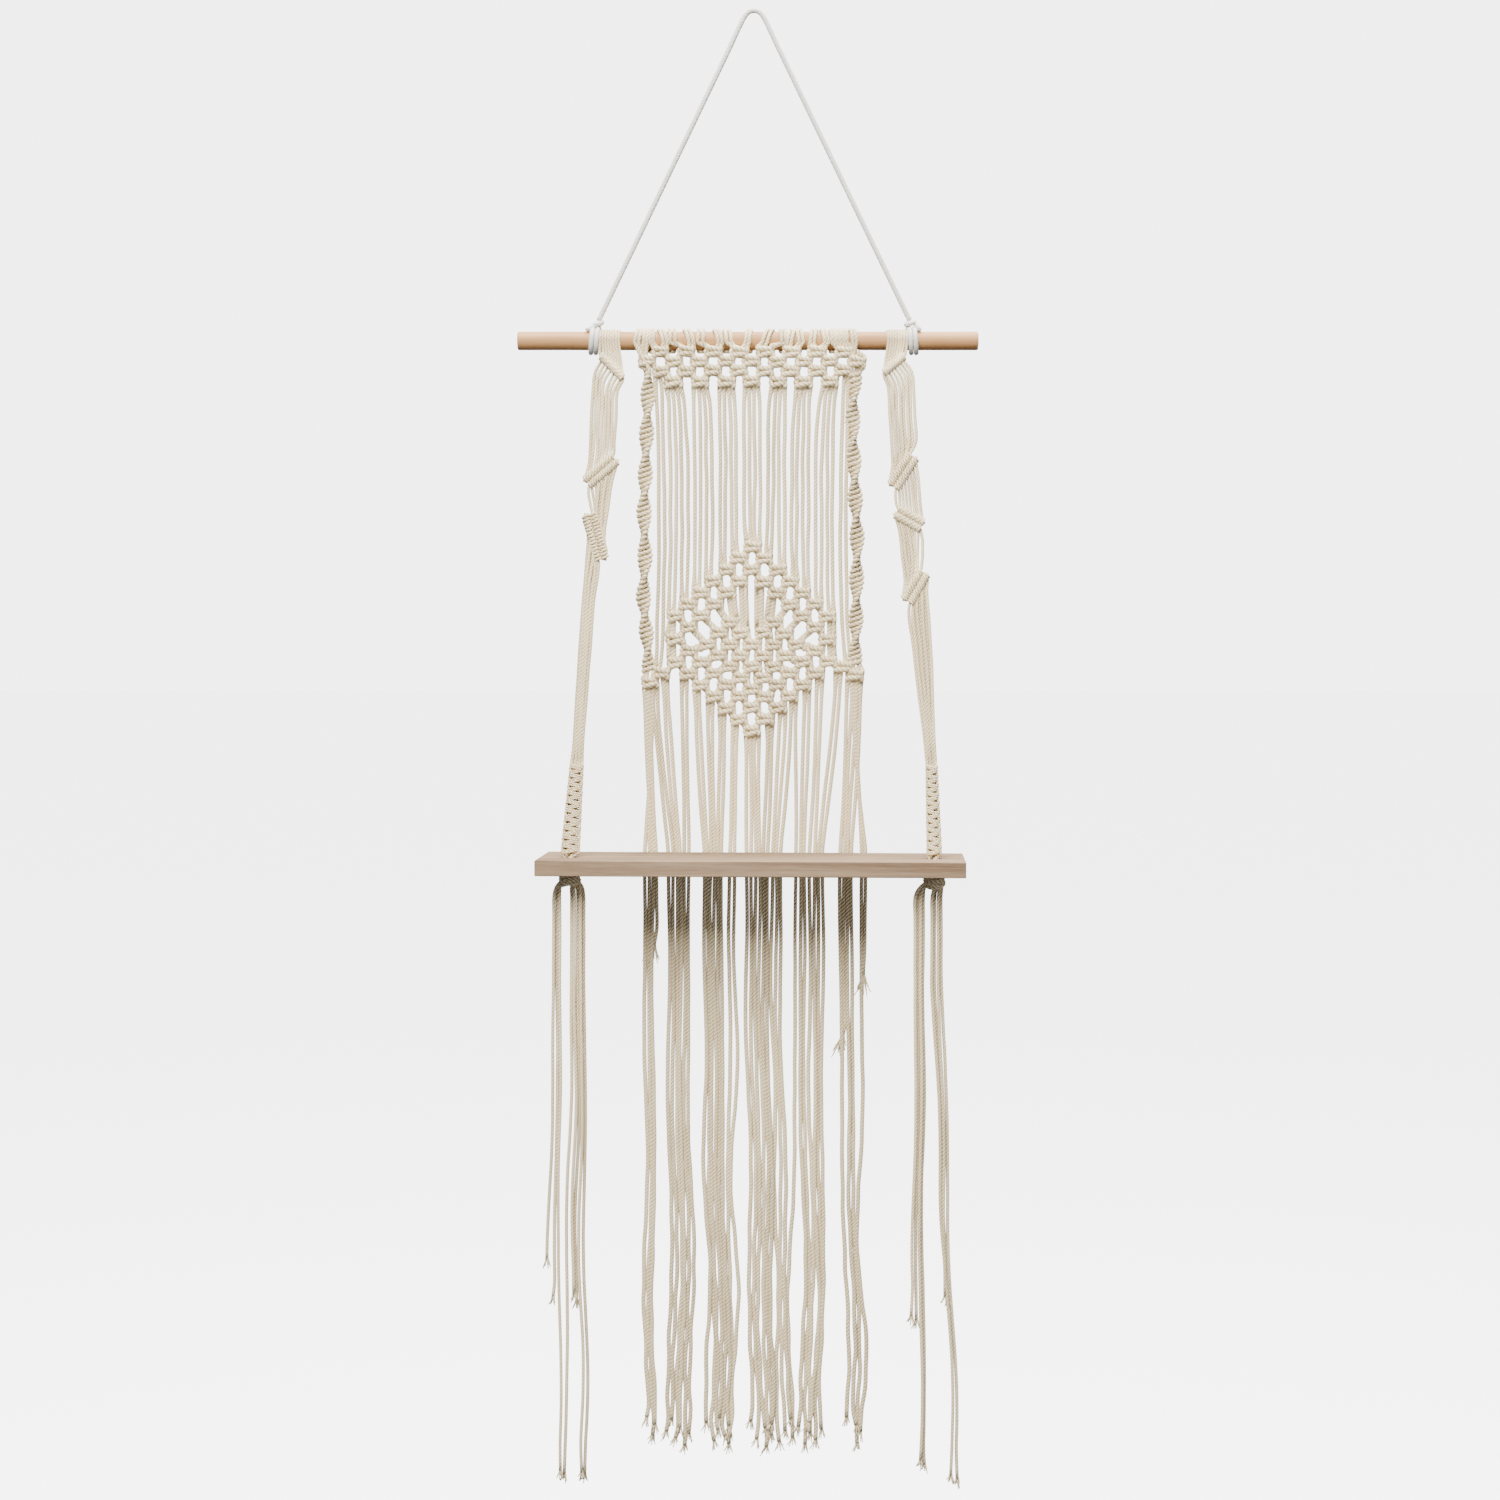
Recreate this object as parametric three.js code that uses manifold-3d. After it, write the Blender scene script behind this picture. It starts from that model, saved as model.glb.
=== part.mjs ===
// Macrame wall shelf: a dowel on a hanger cord carries a knotted centre panel with a long fringe and two
// knotted straps, and the straps carry a plank. Millimetres, +Z up, +X to the right, the front faces -Y.
// The origin is the point where the hanger cord bears on whatever it hangs from.
import * as THREE from 'three';
import { mergeVertices } from 'three/addons/utils/BufferGeometryUtils.js';
import Module from 'manifold-3d';

const wasm = await Module();
wasm.setup();

// Clearances and cotton
const GAP = 0.3;
const STRAND = 3;
const STRAND_SIDES = 3;
// Corners of a strand's section lie this share of its thickness from the middle
const STRAND_CORNER = 0.62;

// Dowel
const ROD_LENGTH = 450;
const ROD_RADIUS = 9;
const ROD_CHAMFER = 0.8;
const ROD_SIDES = 16;
const ROD_X = -6;
const ROD_Z = -320.8;

// Plank: it hangs level, turned a little so that its right end is nearer the viewer
const SHELF_LENGTH = 406;
const SHELF_DEPTH = 100;
const SHELF_THICKNESS = 15;
const SHELF_TOP = -821;
const SHELF_X = -2;
const SHELF_Y = -48;
const SHELF_YAW = THREE.MathUtils.degToRad(-2.9);
const SHELF_EDGE = 0.6;
const HOLE_RADIUS = 7;
const HOLE_ALONG = 174;
const HOLE_ACROSS = -12;

// Hanger cord: straight legs from the two hitches to one bend over the hanging point
const HANGER_THICKNESS = 5;
const HANGER_SIDES = 6;
const HANGER_STEPS = 36;
const HITCH_WIDTH = 9;
const HITCH_FOOT_HEIGHT = 6;
const HITCH_FOOT_DROP = 4;
const HITCH_FOOT_TOP = 3;
const HITCH_FOOT_BOTTOM = 3.8;
const HITCHES = [
  { name: 'hanger_hitch_left', x: -155.6, knotX: -153.5, knotZ: -304, knotRadius: 4 },
  { name: 'hanger_hitch_right', x: 153.6, knotX: 154, knotZ: -304, knotRadius: 4.6 },
];
const HANGER_ROUTE = [
  [-151.5, 0, -299.9], [-145.1, 0, -286.6], [-127.8, 0, -250.6], [-110.5, 0, -214.6], [-93.2, 0, -178.5],
  [-75.9, 0, -142.5], [-58.5, 0, -106.4], [-41.2, 0, -70.4], [-23.9, 0, -34.3], [-9, 0, -3.3],
  [-5.2, 0, 1], [0, 0, 2.5], [5.2, 0, 1], [9, 0, -3.3],
  [24, 0, -34.3], [41.4, 0, -70.4], [58.7, 0, -106.4], [76.1, 0, -142.5], [93.4, 0, -178.5],
  [110.8, 0, -214.6], [128.2, 0, -250.6], [145.5, 0, -286.6], [151.7, 0, -299.4],
];

// Centre panel: groups of four strands side by side, each group as wide as one square knot and its gap
const GROUPS = 10;
const GROUP_WIDTH = 25.4;
const PITCH = GROUP_WIDTH / 4;
const PANEL_X = -2;
const PANEL_TOP = -331;
const PANEL_TOP_Y = -8.5;
const FRINGE_Y = 11;
const TURN_INNER = 9.3;
const TURN_OUTER = 12.2;
const TURN_SEGMENTS = 8;
const TURN_GROOVE = 1.2;
// Where the strands leave the turns, at the front foot of the dowel
const TURN_FOOT_Y = -7.4;
const TURN_FOOT_Z = -328.1;

// Turns of the doubled strands on the dowel, from left to right: lean is how far the foot of a turn lies to
// the right of its top
const TURNS = [
  { x: -106, pairs: 3, lean: 0 }, { x: -89.3, pairs: 1, lean: 4.4 }, { x: -79.8, pairs: 1, lean: 1.3 },
  { x: -64, pairs: 1, lean: 4.2 }, { x: -51.9, pairs: 1, lean: -0.2 }, { x: -35.4, pairs: 1, lean: 3.8 },
  { x: -25.6, pairs: 1, lean: 2.4 }, { x: -5.4, pairs: 1, lean: -1.7 }, { x: 13.8, pairs: 1, lean: -5.2 },
  { x: 28.3, pairs: 1, lean: 0.8 }, { x: 36.4, pairs: 1, lean: -3.2 }, { x: 44.5, pairs: 1, lean: 2 },
  { x: 58.1, pairs: 1, lean: -2.2 }, { x: 82.8, pairs: 5, lean: 0 },
];
const PAIR_WIDTH = 7;
const PACKED_PAIR_WIDTH = 6.6;

// Band of alternating square knots under the dowel
const BAND_ROWS = [
  { z: -334.3, first: -3.5, last: 3.5 },
  { z: -345.6, first: -3, last: 3 },
  { z: -356.9, first: -3.5, last: 3.5 },
];
const KNOT_HALF_WIDTH = 6.3;
const KNOT_HALF_DEPTH = 3.6;
// Levels of one square knot: height from its middle, and share of its width and depth. Its ends fan out to
// the knots of the next row.
const KNOT_LEVELS = [
  { up: 6, wide: 1.16, deep: 0.55 },
  { up: 2.7, wide: 1, deep: 1 },
  { up: 0, wide: 0.8, deep: 0.66 },
  { up: -2.7, wide: 1, deep: 1 },
  { up: -6, wide: 1.16, deep: 0.55 },
];

// Spiral sinnets down both sides of the panel
const SPIRAL_TOP = -331;
const SPIRAL_BOTTOM = -662;
const SPIRAL_HALF_TURN = 38.1;
const SPIRAL_STEP = 9.525;
const SPIRAL_WIDE = 7.6;
const SPIRAL_THIN = 4.4;
const SPIRALS = [
  { topX: -103.7, middleX: -108, bottomX: -104, phase: 1.21 },
  { topX: 97.7, middleX: 100.6, bottomX: 99, phase: -0.09 },
];

// Diamond of double knotted lines and the heart in it, on a grid of columns and rows. Each line is a row of
// grid places [column, row], one square knot at each.
const COLUMN = GROUP_WIDTH / 2;
const ROW = 11.25;
const DIAMOND_TOP = -522.3;
const DIAMOND_GRID = { column: COLUMN, row: ROW, top: DIAMOND_TOP };
const HEART_GRID = { column: 10.8, row: 10.95, top: -529.9 };
const LINE_HALF_HEIGHT = 6;
const LINE_HALF_DEPTH = 3.5;
const LINE_GROOVE = 0.74;
// Each line runs on past its first and last knot, by this share of half a knot, and tapers to this share
const LINE_OVERRUN = 0.8;
const LINE_TAPER = 0.5;
// Rows of the inner lines' corners, and the place of the heart's lobes
const ROOF_ROW = 2;
const KEEL_ROW = 14;
const LOBE_ROW = 6;
const LOBE_COLUMN = 2;
// Column of the diamond's side corners
const SIDE_COLUMN = 6;
const KNOTTED_LINES = [
  { name: 'outer roof', grid: DIAMOND_GRID, places: [[-6, 10], [-6, 6], [0, 0], [6, 6], [6, 10]] },
  { name: 'inner roof', grid: DIAMOND_GRID, places: [[-6, 8], [0, ROOF_ROW], [6, 8]] },
  { name: 'inner keel', grid: DIAMOND_GRID, places: [[-6, 8], [0, KEEL_ROW], [6, 8]] },
  {
    name: 'outer keel with its links',
    grid: DIAMOND_GRID,
    places: [[-8, 12], [-6, 10], [0, 16], [6, 10], [8, 11.5]],
  },
  { name: 'heart, left lobe', grid: HEART_GRID, places: [[-2, 6], [2, 10]] },
  { name: 'heart, middle', grid: HEART_GRID, places: [[-3, 7], [1, 11]] },
  { name: 'heart, low side', grid: HEART_GRID, places: [[-4, 8], [0, 12]] },
  { name: 'heart, right lobe', grid: HEART_GRID, places: [[2, 6], [4, 8]] },
  { name: 'heart, right lobe inside', grid: HEART_GRID, places: [[1, 7], [3, 9]] },
];

// Free strands: their pitch in the lowest knots of the band, how far under a knot's middle they leave it, how
// far down they have spread to the grid, and how far to the side of the middle they fill the diamond
const KNOT_PITCH = 3;
const KNOT_EXIT = 3.5;
const SPREAD_DROP = 14;
const FILLED_COLUMNS = 5;

// Fringe: the strands gather into clusters behind the plank. from and to are the places of a cluster's
// first and last strand.
const CLUSTERS = [
  { from: -106.6, to: -95.8, count: 4 }, { from: -83.1, to: -64.5, count: 6 },
  { from: -49.4, to: -31.8, count: 6 }, { from: -23.6, to: -19.4, count: 2 },
  { from: -6.8, to: 26.4, count: 9 }, { from: 41.1, to: 67.5, count: 7 },
  { from: 84.1, to: 95.8, count: 4 }, { from: 105.5, to: 109.6, count: 2 },
];
// Stations of a fringe strand: gathered runs from 0 on the grid to 1 in the cluster, sway is to the side
const STATIONS = [
  { z: -770, gathered: 0.6, sway: 0 },
  { z: -822, gathered: 1, sway: 0 },
  { z: -1010, gathered: 1, sway: 1.2 },
  { z: -1220, gathered: 1, sway: -1.4 },
];
const EDGE_STRANDS = 4;
const EDGE_START = -662;
const EDGE_PITCH = 3.2;
const FRINGE_END = -1397;
const FRINGE_UNEVEN = 14;
const GOLDEN = 0.618;
// Strands that end early: number from the left, and the end
const SHORT_STRANDS = { 3: -913, 35: -1001, 39: -942 };
// A station closer than this to a strand's end is left out
const LAST_STRETCH = 20;

// Side straps. Stations give the middle and half the width of the eight strands, from the dowel to the plank.
// Bars are rows of clove hitches from one edge to the other; rows says how many lie one under the other.
const STRAP_STRANDS = 8;
const STRAP_STRAND = 2.6;
const STRAP_TOP_Y = -10.5;
// The strands lie in two layers this far from the middle where they lie closer than the half width given
const STRAP_LAYER = 1.9;
const LAYERED_HALF = 8;
const STRAP_TURN_WIDTH = 18;
const BAR_HALF_HEIGHT = 3.3;
const BAR_HALF_DEPTH = 3.9;
const BAR_RIDGES = 3;
const BAR_GROOVE = 0.8;
const SINNET_TOP = -733;
const SINNET_KNOTS = 10;
const SINNET_HALF_DEPTH = 3.6;
const SINNET_WAIST = 0.82;
const SINNET_DIP = 0.75;
const SINNET_FOOT = 4.5;
const NECK_RADIUS = 5.6;
const NECK_RISE = 8;
const STRAPS = [
  {
    name: 'strap_left', turnX: -141.8, side: -1, sinnetTopHalf: 7.4, sinnetBottomHalf: 9.6,
    stations: [
      { z: -336, x: -141.8, half: 8.4 }, { z: -355, x: -144, half: 13 }, { z: -449, x: -148.4, half: 13 },
      { z: -513, x: -152.6, half: 9 }, { z: -575, x: -159.9, half: 6.4 }, { z: -736, x: -170.5, half: 5.6 },
    ],
    bars: [
      { fromX: -150, fromZ: -335.5, toX: -128.6, toZ: -356, rows: 1 },
      { fromX: -134.6, fromZ: -437, toX: -162, toZ: -461, rows: 2 },
      { fromX: -160, fromZ: -491, toX: -147, toZ: -536, rows: 2 },
    ],
  },
  {
    name: 'strap_right', turnX: 139.8, side: 1, sinnetTopHalf: 6, sinnetBottomHalf: 7.6,
    stations: [
      { z: -336, x: 139.8, half: 8.4 }, { z: -355, x: 142, half: 13.4 }, { z: -450, x: 146.4, half: 12.8 },
      { z: -562, x: 156, half: 11.2 }, { z: -650, x: 163.3, half: 8.6 }, { z: -693, x: 166.3, half: 6 },
      { z: -736, x: 169.3, half: 5 },
    ],
    bars: [
      { fromX: 147, fromZ: -335.5, toX: 127.4, toZ: -351, rows: 1 },
      { fromX: 154, fromZ: -435, toX: 134.5, toZ: -465, rows: 2 },
      { fromX: 137.5, fromZ: -487.5, toX: 160.5, toZ: -499.5, rows: 1 },
      { fromX: 163.6, fromZ: -548, toX: 147, toZ: -576, rows: 2 },
    ],
  },
];

// Tassels: a stopper knot under the plank and eight strands, by their place beside the hole at the knot, a
// hand lower, and at the end
const STOPPER_HALF_WIDTH = 11;
const STOPPER_HALF_DEPTH = 9;
const STOPPER_HEIGHT = 12.5;
const STOPPER_TWIST = 0.3;
// Levels of a stopper knot: height from its middle as a share of half its height, and share of its width
const STOPPER_LEVELS = [
  { up: 1, size: 0.62 }, { up: 0.45, size: 1 }, { up: 0, size: 0.86 }, { up: -0.5, size: 1 },
  { up: -1, size: 0.55 },
];
const TASSELS = [
  {
    name: 'tassel_left', hole: -1,
    strands: [
      { top: -7, low: -17, end: -23, endZ: -1205 }, { top: -5.5, low: -13, end: -9, endZ: -1242 },
      { top: -3.5, low: -9, end: -13, endZ: -1407 }, { top: -1.5, low: -5, end: -8.6, endZ: -1412 },
      { top: 1.5, low: 3, end: 4.6, endZ: -1239 }, { top: 3.5, low: 7, end: 9, endZ: -1246 },
      { top: 5.5, low: 11, end: 13, endZ: -1409 }, { top: 7, low: 15, end: 17.4, endZ: -1413 },
    ],
  },
  {
    name: 'tassel_right', hole: 1,
    strands: [
      { top: -7, low: -16, end: -19, endZ: -1255 }, { top: -5.5, low: -12, end: -14.6, endZ: -1260 },
      { top: -3.5, low: -8, end: -17, endZ: -1392 }, { top: -1.5, low: -4.4, end: -11.6, endZ: -1397 },
      { top: 1.5, low: 0, end: 15.4, endZ: -1236 }, { top: 3.5, low: 4, end: 20.4, endZ: -1242 },
      { top: 5.5, low: 8, end: 18, endZ: -1406 }, { top: 7, low: 12, end: 22.6, endZ: -1411 },
    ],
  },
];
const TASSEL_BULGE = -868;
const TASSEL_LOW = -940;
const TASSEL_LAYER = 2.4;

// Looks
const COTTON = { color: 0xdcd0b4, roughness: 0.95, metalness: 0 };
const PALE_COTTON = { color: 0xd9d5cc, roughness: 0.95, metalness: 0 };
const BEECH = { color: 0xcfae84, roughness: 0.6, metalness: 0 };
const PALE_BOARD = { color: 0xb8a48e, roughness: 0.7, metalness: 0 };

// Closed skin over a row of rings that all have the same number of points
function skin(rings) {
  const sides = rings[0].length;
  const index = [];
  for (let ring = 0; ring < rings.length - 1; ring++) {
    for (let side = 0; side < sides; side++) {
      const a = ring * sides + side;
      const b = ring * sides + ((side + 1) % sides);
      index.push(a, b, a + sides, b, b + sides, a + sides);
    }
  }
  const last = (rings.length - 1) * sides;
  for (let side = 1; side < sides - 1; side++) {
    index.push(0, side + 1, side, last, last + side, last + side + 1);
  }
  const geometry = new THREE.BufferGeometry();
  const values = rings.flat().flatMap((point) => point.toArray());
  geometry.setAttribute('position', new THREE.Float32BufferAttribute(values, 3));
  geometry.setIndex(index);
  return geometry;
}

// Tube along a path: at each point an ellipse of the given half width, square to the path and to Y, and half
// depth, towards Y. turn twists the section about the path.
function tube(points, { sides = 4, wide, deep = wide, turn = () => 0, offset = 0 }) {
  const depthAxis = new THREE.Vector3(0, 1, 0);
  const rings = points.map((point, i) => {
    const before = points[Math.max(i - 1, 0)];
    const after = points[Math.min(i + 1, points.length - 1)];
    const along = after.clone().sub(before).normalize();
    const across = along.clone().cross(depthAxis).normalize();
    const out = along.clone().cross(across);
    const ring = [];
    for (let side = 0; side < sides; side++) {
      const angle = offset + (2 * Math.PI * side) / sides;
      const u = Math.cos(angle) * wide(i);
      const v = Math.sin(angle) * deep(i);
      const c = Math.cos(turn(i));
      const s = Math.sin(turn(i));
      ring.push(point.clone().addScaledVector(across, u * c - v * s).addScaledVector(out, u * s + v * c));
    }
    return ring;
  });
  return skin(rings);
}

// Cotton strand of one even thickness
function strand(points, thickness = STRAND) {
  return tube(points, { sides: STRAND_SIDES, wide: () => thickness * STRAND_CORNER, offset: Math.PI / 2 });
}

// Turns round the dowel: a ring with a ridge for each strand, slanted by lean over the dowel's thickness
function turnsOnRod(x, width, ridges, lean = 0, outer = TURN_OUTER) {
  const inner = TURN_INNER / Math.cos(Math.PI / TURN_SEGMENTS);
  const profile = [new THREE.Vector2(inner, width / 2), new THREE.Vector2(inner, -width / 2)];
  for (let ridge = 0; ridge < ridges; ridge++) {
    const start = -width / 2 + (width * ridge) / ridges;
    if (ridge > 0) profile.push(new THREE.Vector2(outer - TURN_GROOVE, start));
    profile.push(new THREE.Vector2(outer, start + (width * 0.5) / ridges));
  }
  profile.push(profile[0].clone());
  const geometry = new THREE.LatheGeometry(profile, TURN_SEGMENTS);
  geometry.rotateY(Math.PI / TURN_SEGMENTS);
  geometry.rotateZ(Math.PI / 2);
  const position = geometry.getAttribute('position');
  const slant = lean / (2 * ROD_RADIUS);
  for (let i = 0; i < position.count; i++) position.setX(i, position.getX(i) - slant * position.getZ(i));
  geometry.translate(x, 0, ROD_Z);
  return geometry;
}

// Solid of a closed geometry, and back
function solidOf(geometry) {
  const bare = geometry.clone();
  bare.deleteAttribute('normal');
  bare.deleteAttribute('uv');
  const merged = mergeVertices(bare, 1e-4);
  return new wasm.Manifold(new wasm.Mesh({
    numProp: 3,
    vertProperties: new Float32Array(merged.getAttribute('position').array),
    triVerts: new Uint32Array(merged.index.array),
  }));
}

function geometryOf(solid) {
  const mesh = solid.getMesh();
  const geometry = new THREE.BufferGeometry();
  geometry.setAttribute('position', new THREE.BufferAttribute(new Float32Array(mesh.vertProperties), 3));
  geometry.setIndex(new THREE.BufferAttribute(new Uint32Array(mesh.triVerts), 1));
  geometry.computeVertexNormals();
  return geometry;
}

function fused(geometries) {
  return geometryOf(geometries.map(solidOf).reduce((whole, next) => whole.add(next)));
}

function named(name, geometry, look) {
  const mesh = new THREE.Mesh(geometry, new THREE.MeshStandardMaterial(look));
  mesh.name = name;
  return mesh;
}

// Depth of the panel: it leans back from the front of the dowel to behind the plank, then hangs plumb
function panelY(z) {
  const share = Math.min((PANEL_TOP - z) / (PANEL_TOP - SHELF_TOP), 1);
  return PANEL_TOP_Y + (FRINGE_Y - PANEL_TOP_Y) * share;
}

function onPanel(x, z) {
  return new THREE.Vector3(x, panelY(z), z);
}

function rod() {
  const half = ROD_LENGTH / 2;
  const end = ROD_RADIUS - ROD_CHAMFER;
  const profile = [[0, -half], [end, -half], [ROD_RADIUS, ROD_CHAMFER - half],
    [ROD_RADIUS, half - ROD_CHAMFER], [end, half], [0, half]];
  const geometry = new THREE.LatheGeometry(profile.map(([r, x]) => new THREE.Vector2(r, x)), ROD_SIDES);
  const mesh = named('rod', geometry, BEECH);
  mesh.rotation.z = Math.PI / 2;
  mesh.position.set(ROD_X, 0, ROD_Z);
  return mesh;
}

function shelf() {
  const outline = new THREE.Shape();
  const halfLength = SHELF_LENGTH / 2 - SHELF_EDGE;
  const halfDepth = SHELF_DEPTH / 2 - SHELF_EDGE;
  outline.moveTo(-halfLength, -halfDepth).lineTo(halfLength, -halfDepth);
  outline.lineTo(halfLength, halfDepth).lineTo(-halfLength, halfDepth).closePath();
  for (const side of [-1, 1]) {
    const hole = new THREE.Path();
    hole.absarc(side * HOLE_ALONG, HOLE_ACROSS, HOLE_RADIUS + SHELF_EDGE, 0, 2 * Math.PI, true);
    outline.holes.push(hole);
  }
  const geometry = new THREE.ExtrudeGeometry(outline, {
    depth: SHELF_THICKNESS - 2 * SHELF_EDGE, curveSegments: 7,
    bevelEnabled: true, bevelThickness: SHELF_EDGE, bevelSize: SHELF_EDGE, bevelSegments: 1,
  });
  geometry.translate(0, 0, SHELF_EDGE - SHELF_THICKNESS);
  const mesh = named('shelf', geometry, PALE_BOARD);
  mesh.rotation.z = SHELF_YAW;
  mesh.position.set(SHELF_X, SHELF_Y, SHELF_TOP);
  return mesh;
}

// Middle of a hole in the plank, at the height of its top: side is -1 for the left one
function holeAt(side) {
  const place = new THREE.Vector3(side * HOLE_ALONG, HOLE_ACROSS, 0);
  place.applyAxisAngle(new THREE.Vector3(0, 0, 1), SHELF_YAW);
  return place.add(new THREE.Vector3(SHELF_X, SHELF_Y, SHELF_TOP));
}

function hangerCord() {
  const section = new THREE.Shape();
  section.absarc(0, 0, HANGER_THICKNESS / 2, 0, 2 * Math.PI, false);
  const route = new THREE.CatmullRomCurve3(HANGER_ROUTE.map((place) => new THREE.Vector3(...place)));
  const geometry = new THREE.ExtrudeGeometry(section, {
    steps: HANGER_STEPS, curveSegments: HANGER_SIDES / 2, bevelEnabled: false, extrudePath: route,
  });
  return named('hanger_cord', geometry, PALE_COTTON);
}

function hangerHitch({ name, x, knotX, knotZ, knotRadius }) {
  const outer = ROD_RADIUS + HANGER_THICKNESS;
  const knot = new THREE.SphereGeometry(knotRadius, 8, 5);
  knot.translate(knotX, 0, knotZ);
  const foot = new THREE.CylinderGeometry(HITCH_FOOT_TOP, HITCH_FOOT_BOTTOM, HITCH_FOOT_HEIGHT, 6);
  foot.rotateX(Math.PI / 2);
  foot.translate((x + knotX) / 2, 0, knotZ - HITCH_FOOT_DROP);
  return named(name, fused([turnsOnRod(x, HITCH_WIDTH, 2, 0, outer), foot, knot]), PALE_COTTON);
}

// One square knot of the band: two crossing strands one over the other, with a waist between them
function squareKnot(x, z) {
  const middle = onPanel(x, z);
  const points = KNOT_LEVELS.map(({ up }) => middle.clone().add(new THREE.Vector3(0, 0, up)));
  return tube(points, {
    wide: (i) => KNOT_HALF_WIDTH * KNOT_LEVELS[i].wide * Math.SQRT2,
    deep: (i) => KNOT_HALF_DEPTH * KNOT_LEVELS[i].deep * Math.SQRT2,
    offset: Math.PI / 4,
  });
}

function bandKnots() {
  return BAND_ROWS.flatMap(({ z, first, last }) =>
    Array.from({ length: last - first + 1 }, (_, i) => squareKnot(PANEL_X + (first + i) * GROUP_WIDTH, z)));
}

// Spiral sinnet: a flat section that makes a half turn over and over on the way down
function spiral({ topX, middleX, bottomX, phase }) {
  const course = new THREE.QuadraticBezierCurve3(
    onPanel(topX, SPIRAL_TOP),
    onPanel(2 * middleX - (topX + bottomX) / 2, (SPIRAL_TOP + SPIRAL_BOTTOM) / 2),
    onPanel(bottomX, SPIRAL_BOTTOM),
  );
  const steps = Math.round((SPIRAL_TOP - SPIRAL_BOTTOM) / SPIRAL_STEP);
  return tube(course.getPoints(steps), {
    wide: () => SPIRAL_WIDE,
    deep: () => SPIRAL_THIN,
    turn: (i) => phase + (Math.PI * SPIRAL_STEP * i) / SPIRAL_HALF_TURN,
  });
}

function onGrid({ column: width, row: height, top }, column, row) {
  return onPanel(PANEL_X + column * width, top - row * height);
}

// Line of square knots through places of the grid: thick at each knot and waisted halfway to the next
function knottedLine({ grid, places }) {
  const stops = [];
  for (let leg = 0; leg < places.length - 1; leg++) {
    const [fromColumn, fromRow] = places[leg];
    const [toColumn, toRow] = places[leg + 1];
    const knots = Math.abs(toColumn - fromColumn) || Math.abs(toRow - fromRow) / 2;
    for (let half = leg === 0 ? 0 : 1; half <= 2 * knots; half++) {
      const share = half / (2 * knots);
      const column = fromColumn + (toColumn - fromColumn) * share;
      stops.push(onGrid(grid, column, fromRow + (toRow - fromRow) * share));
    }
  }
  const start = stops[0].clone().lerp(stops[1], -LINE_OVERRUN);
  const end = stops[stops.length - 1].clone().lerp(stops[stops.length - 2], -LINE_OVERRUN);
  const points = [start, ...stops, end];
  const swell = (i) => {
    if (i === 0 || i === points.length - 1) return LINE_TAPER;
    return i % 2 ? 1 : LINE_GROOVE;
  };
  return tube(points, {
    wide: (i) => LINE_HALF_HEIGHT * swell(i) * Math.SQRT2,
    deep: (i) => LINE_HALF_DEPTH * swell(i) * Math.SQRT2,
    offset: Math.PI / 4,
  });
}

// Place of each fringe strand once it has gathered into its cluster
function clusterPlaces() {
  return CLUSTERS.flatMap(({ from, to, count }, cluster) =>
    Array.from({ length: count }, (_, i) => ({ x: from + ((to - from) * i) / (count - 1), cluster })));
}

// Height of the diamond's outer lines at a place: its roof, or its keel with the links beside it
function roofZ(x) {
  return DIAMOND_TOP - (ROW * Math.abs(x - PANEL_X)) / COLUMN;
}

function keelZ(x) {
  const rise = Math.abs(x - PANEL_X) / COLUMN;
  return DIAMOND_TOP - ROW * (KEEL_ROW + ROOF_ROW - Math.min(rise, 2 * SIDE_COLUMN - rise));
}

function gridX(number) {
  return PANEL_X + (number - (GROUPS * 4 - 1) / 2) * PITCH;
}

// Short strands from the single turns that have no knot right under them, into the second row of knots
function headStrands() {
  const [upper, lower] = BAND_ROWS;
  return TURNS.filter(({ pairs }) => pairs === 1).flatMap(({ x, lean }) => {
    const shift = (lean * (ROD_Z - TURN_FOOT_Z)) / (2 * ROD_RADIUS);
    const column = Math.round((x - PANEL_X) / GROUP_WIDTH - upper.first) + upper.first;
    const aside = Math.abs(PANEL_X + column * GROUP_WIDTH - x - shift);
    if (aside < KNOT_HALF_WIDTH + PAIR_WIDTH / 2 - 1) return [];
    const below = Math.round((x - PANEL_X) / GROUP_WIDTH);
    const foot = new THREE.Vector3(x + shift - PAIR_WIDTH / 3, TURN_FOOT_Y, TURN_FOOT_Z);
    return strand([foot, onPanel(PANEL_X + below * GROUP_WIDTH, lower.z + 1)]);
  });
}

// Free strands between the band and the diamond, and in the diamond above and beside the heart
function netStrands() {
  const strands = [];
  const knots = BAND_ROWS[BAND_ROWS.length - 1];
  for (let number = EDGE_STRANDS; number < GROUPS * 4 - EDGE_STRANDS; number++) {
    const x = gridX(number);
    const column = knots.first + Math.floor((number - EDGE_STRANDS) / 4);
    const inKnot = PANEL_X + column * GROUP_WIDTH + (((number - EDGE_STRANDS) % 4) - 1.5) * KNOT_PITCH;
    const beside = Math.abs(x - PANEL_X);
    const foot = beside > (SIDE_COLUMN + 0.5) * COLUMN ? keelZ(x) : roofZ(x);
    strands.push(strand([
      onPanel(inKnot, knots.z - KNOT_EXIT), onPanel(x, knots.z - SPREAD_DROP), onPanel(x, foot),
    ]));
    if (beside > FILLED_COLUMNS * COLUMN) continue;
    const heartColumn = beside / HEART_GRID.column;
    const heartRow = LOBE_ROW + Math.abs(heartColumn - LOBE_COLUMN);
    const end = heartColumn > 2 * LOBE_COLUMN
      ? keelZ(x) + ROOF_ROW * ROW
      : HEART_GRID.top - HEART_GRID.row * heartRow;
    strands.push(strand([onPanel(x, roofZ(x) - ROOF_ROW * ROW), onPanel(x, end)]));
  }
  return strands;
}

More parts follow.
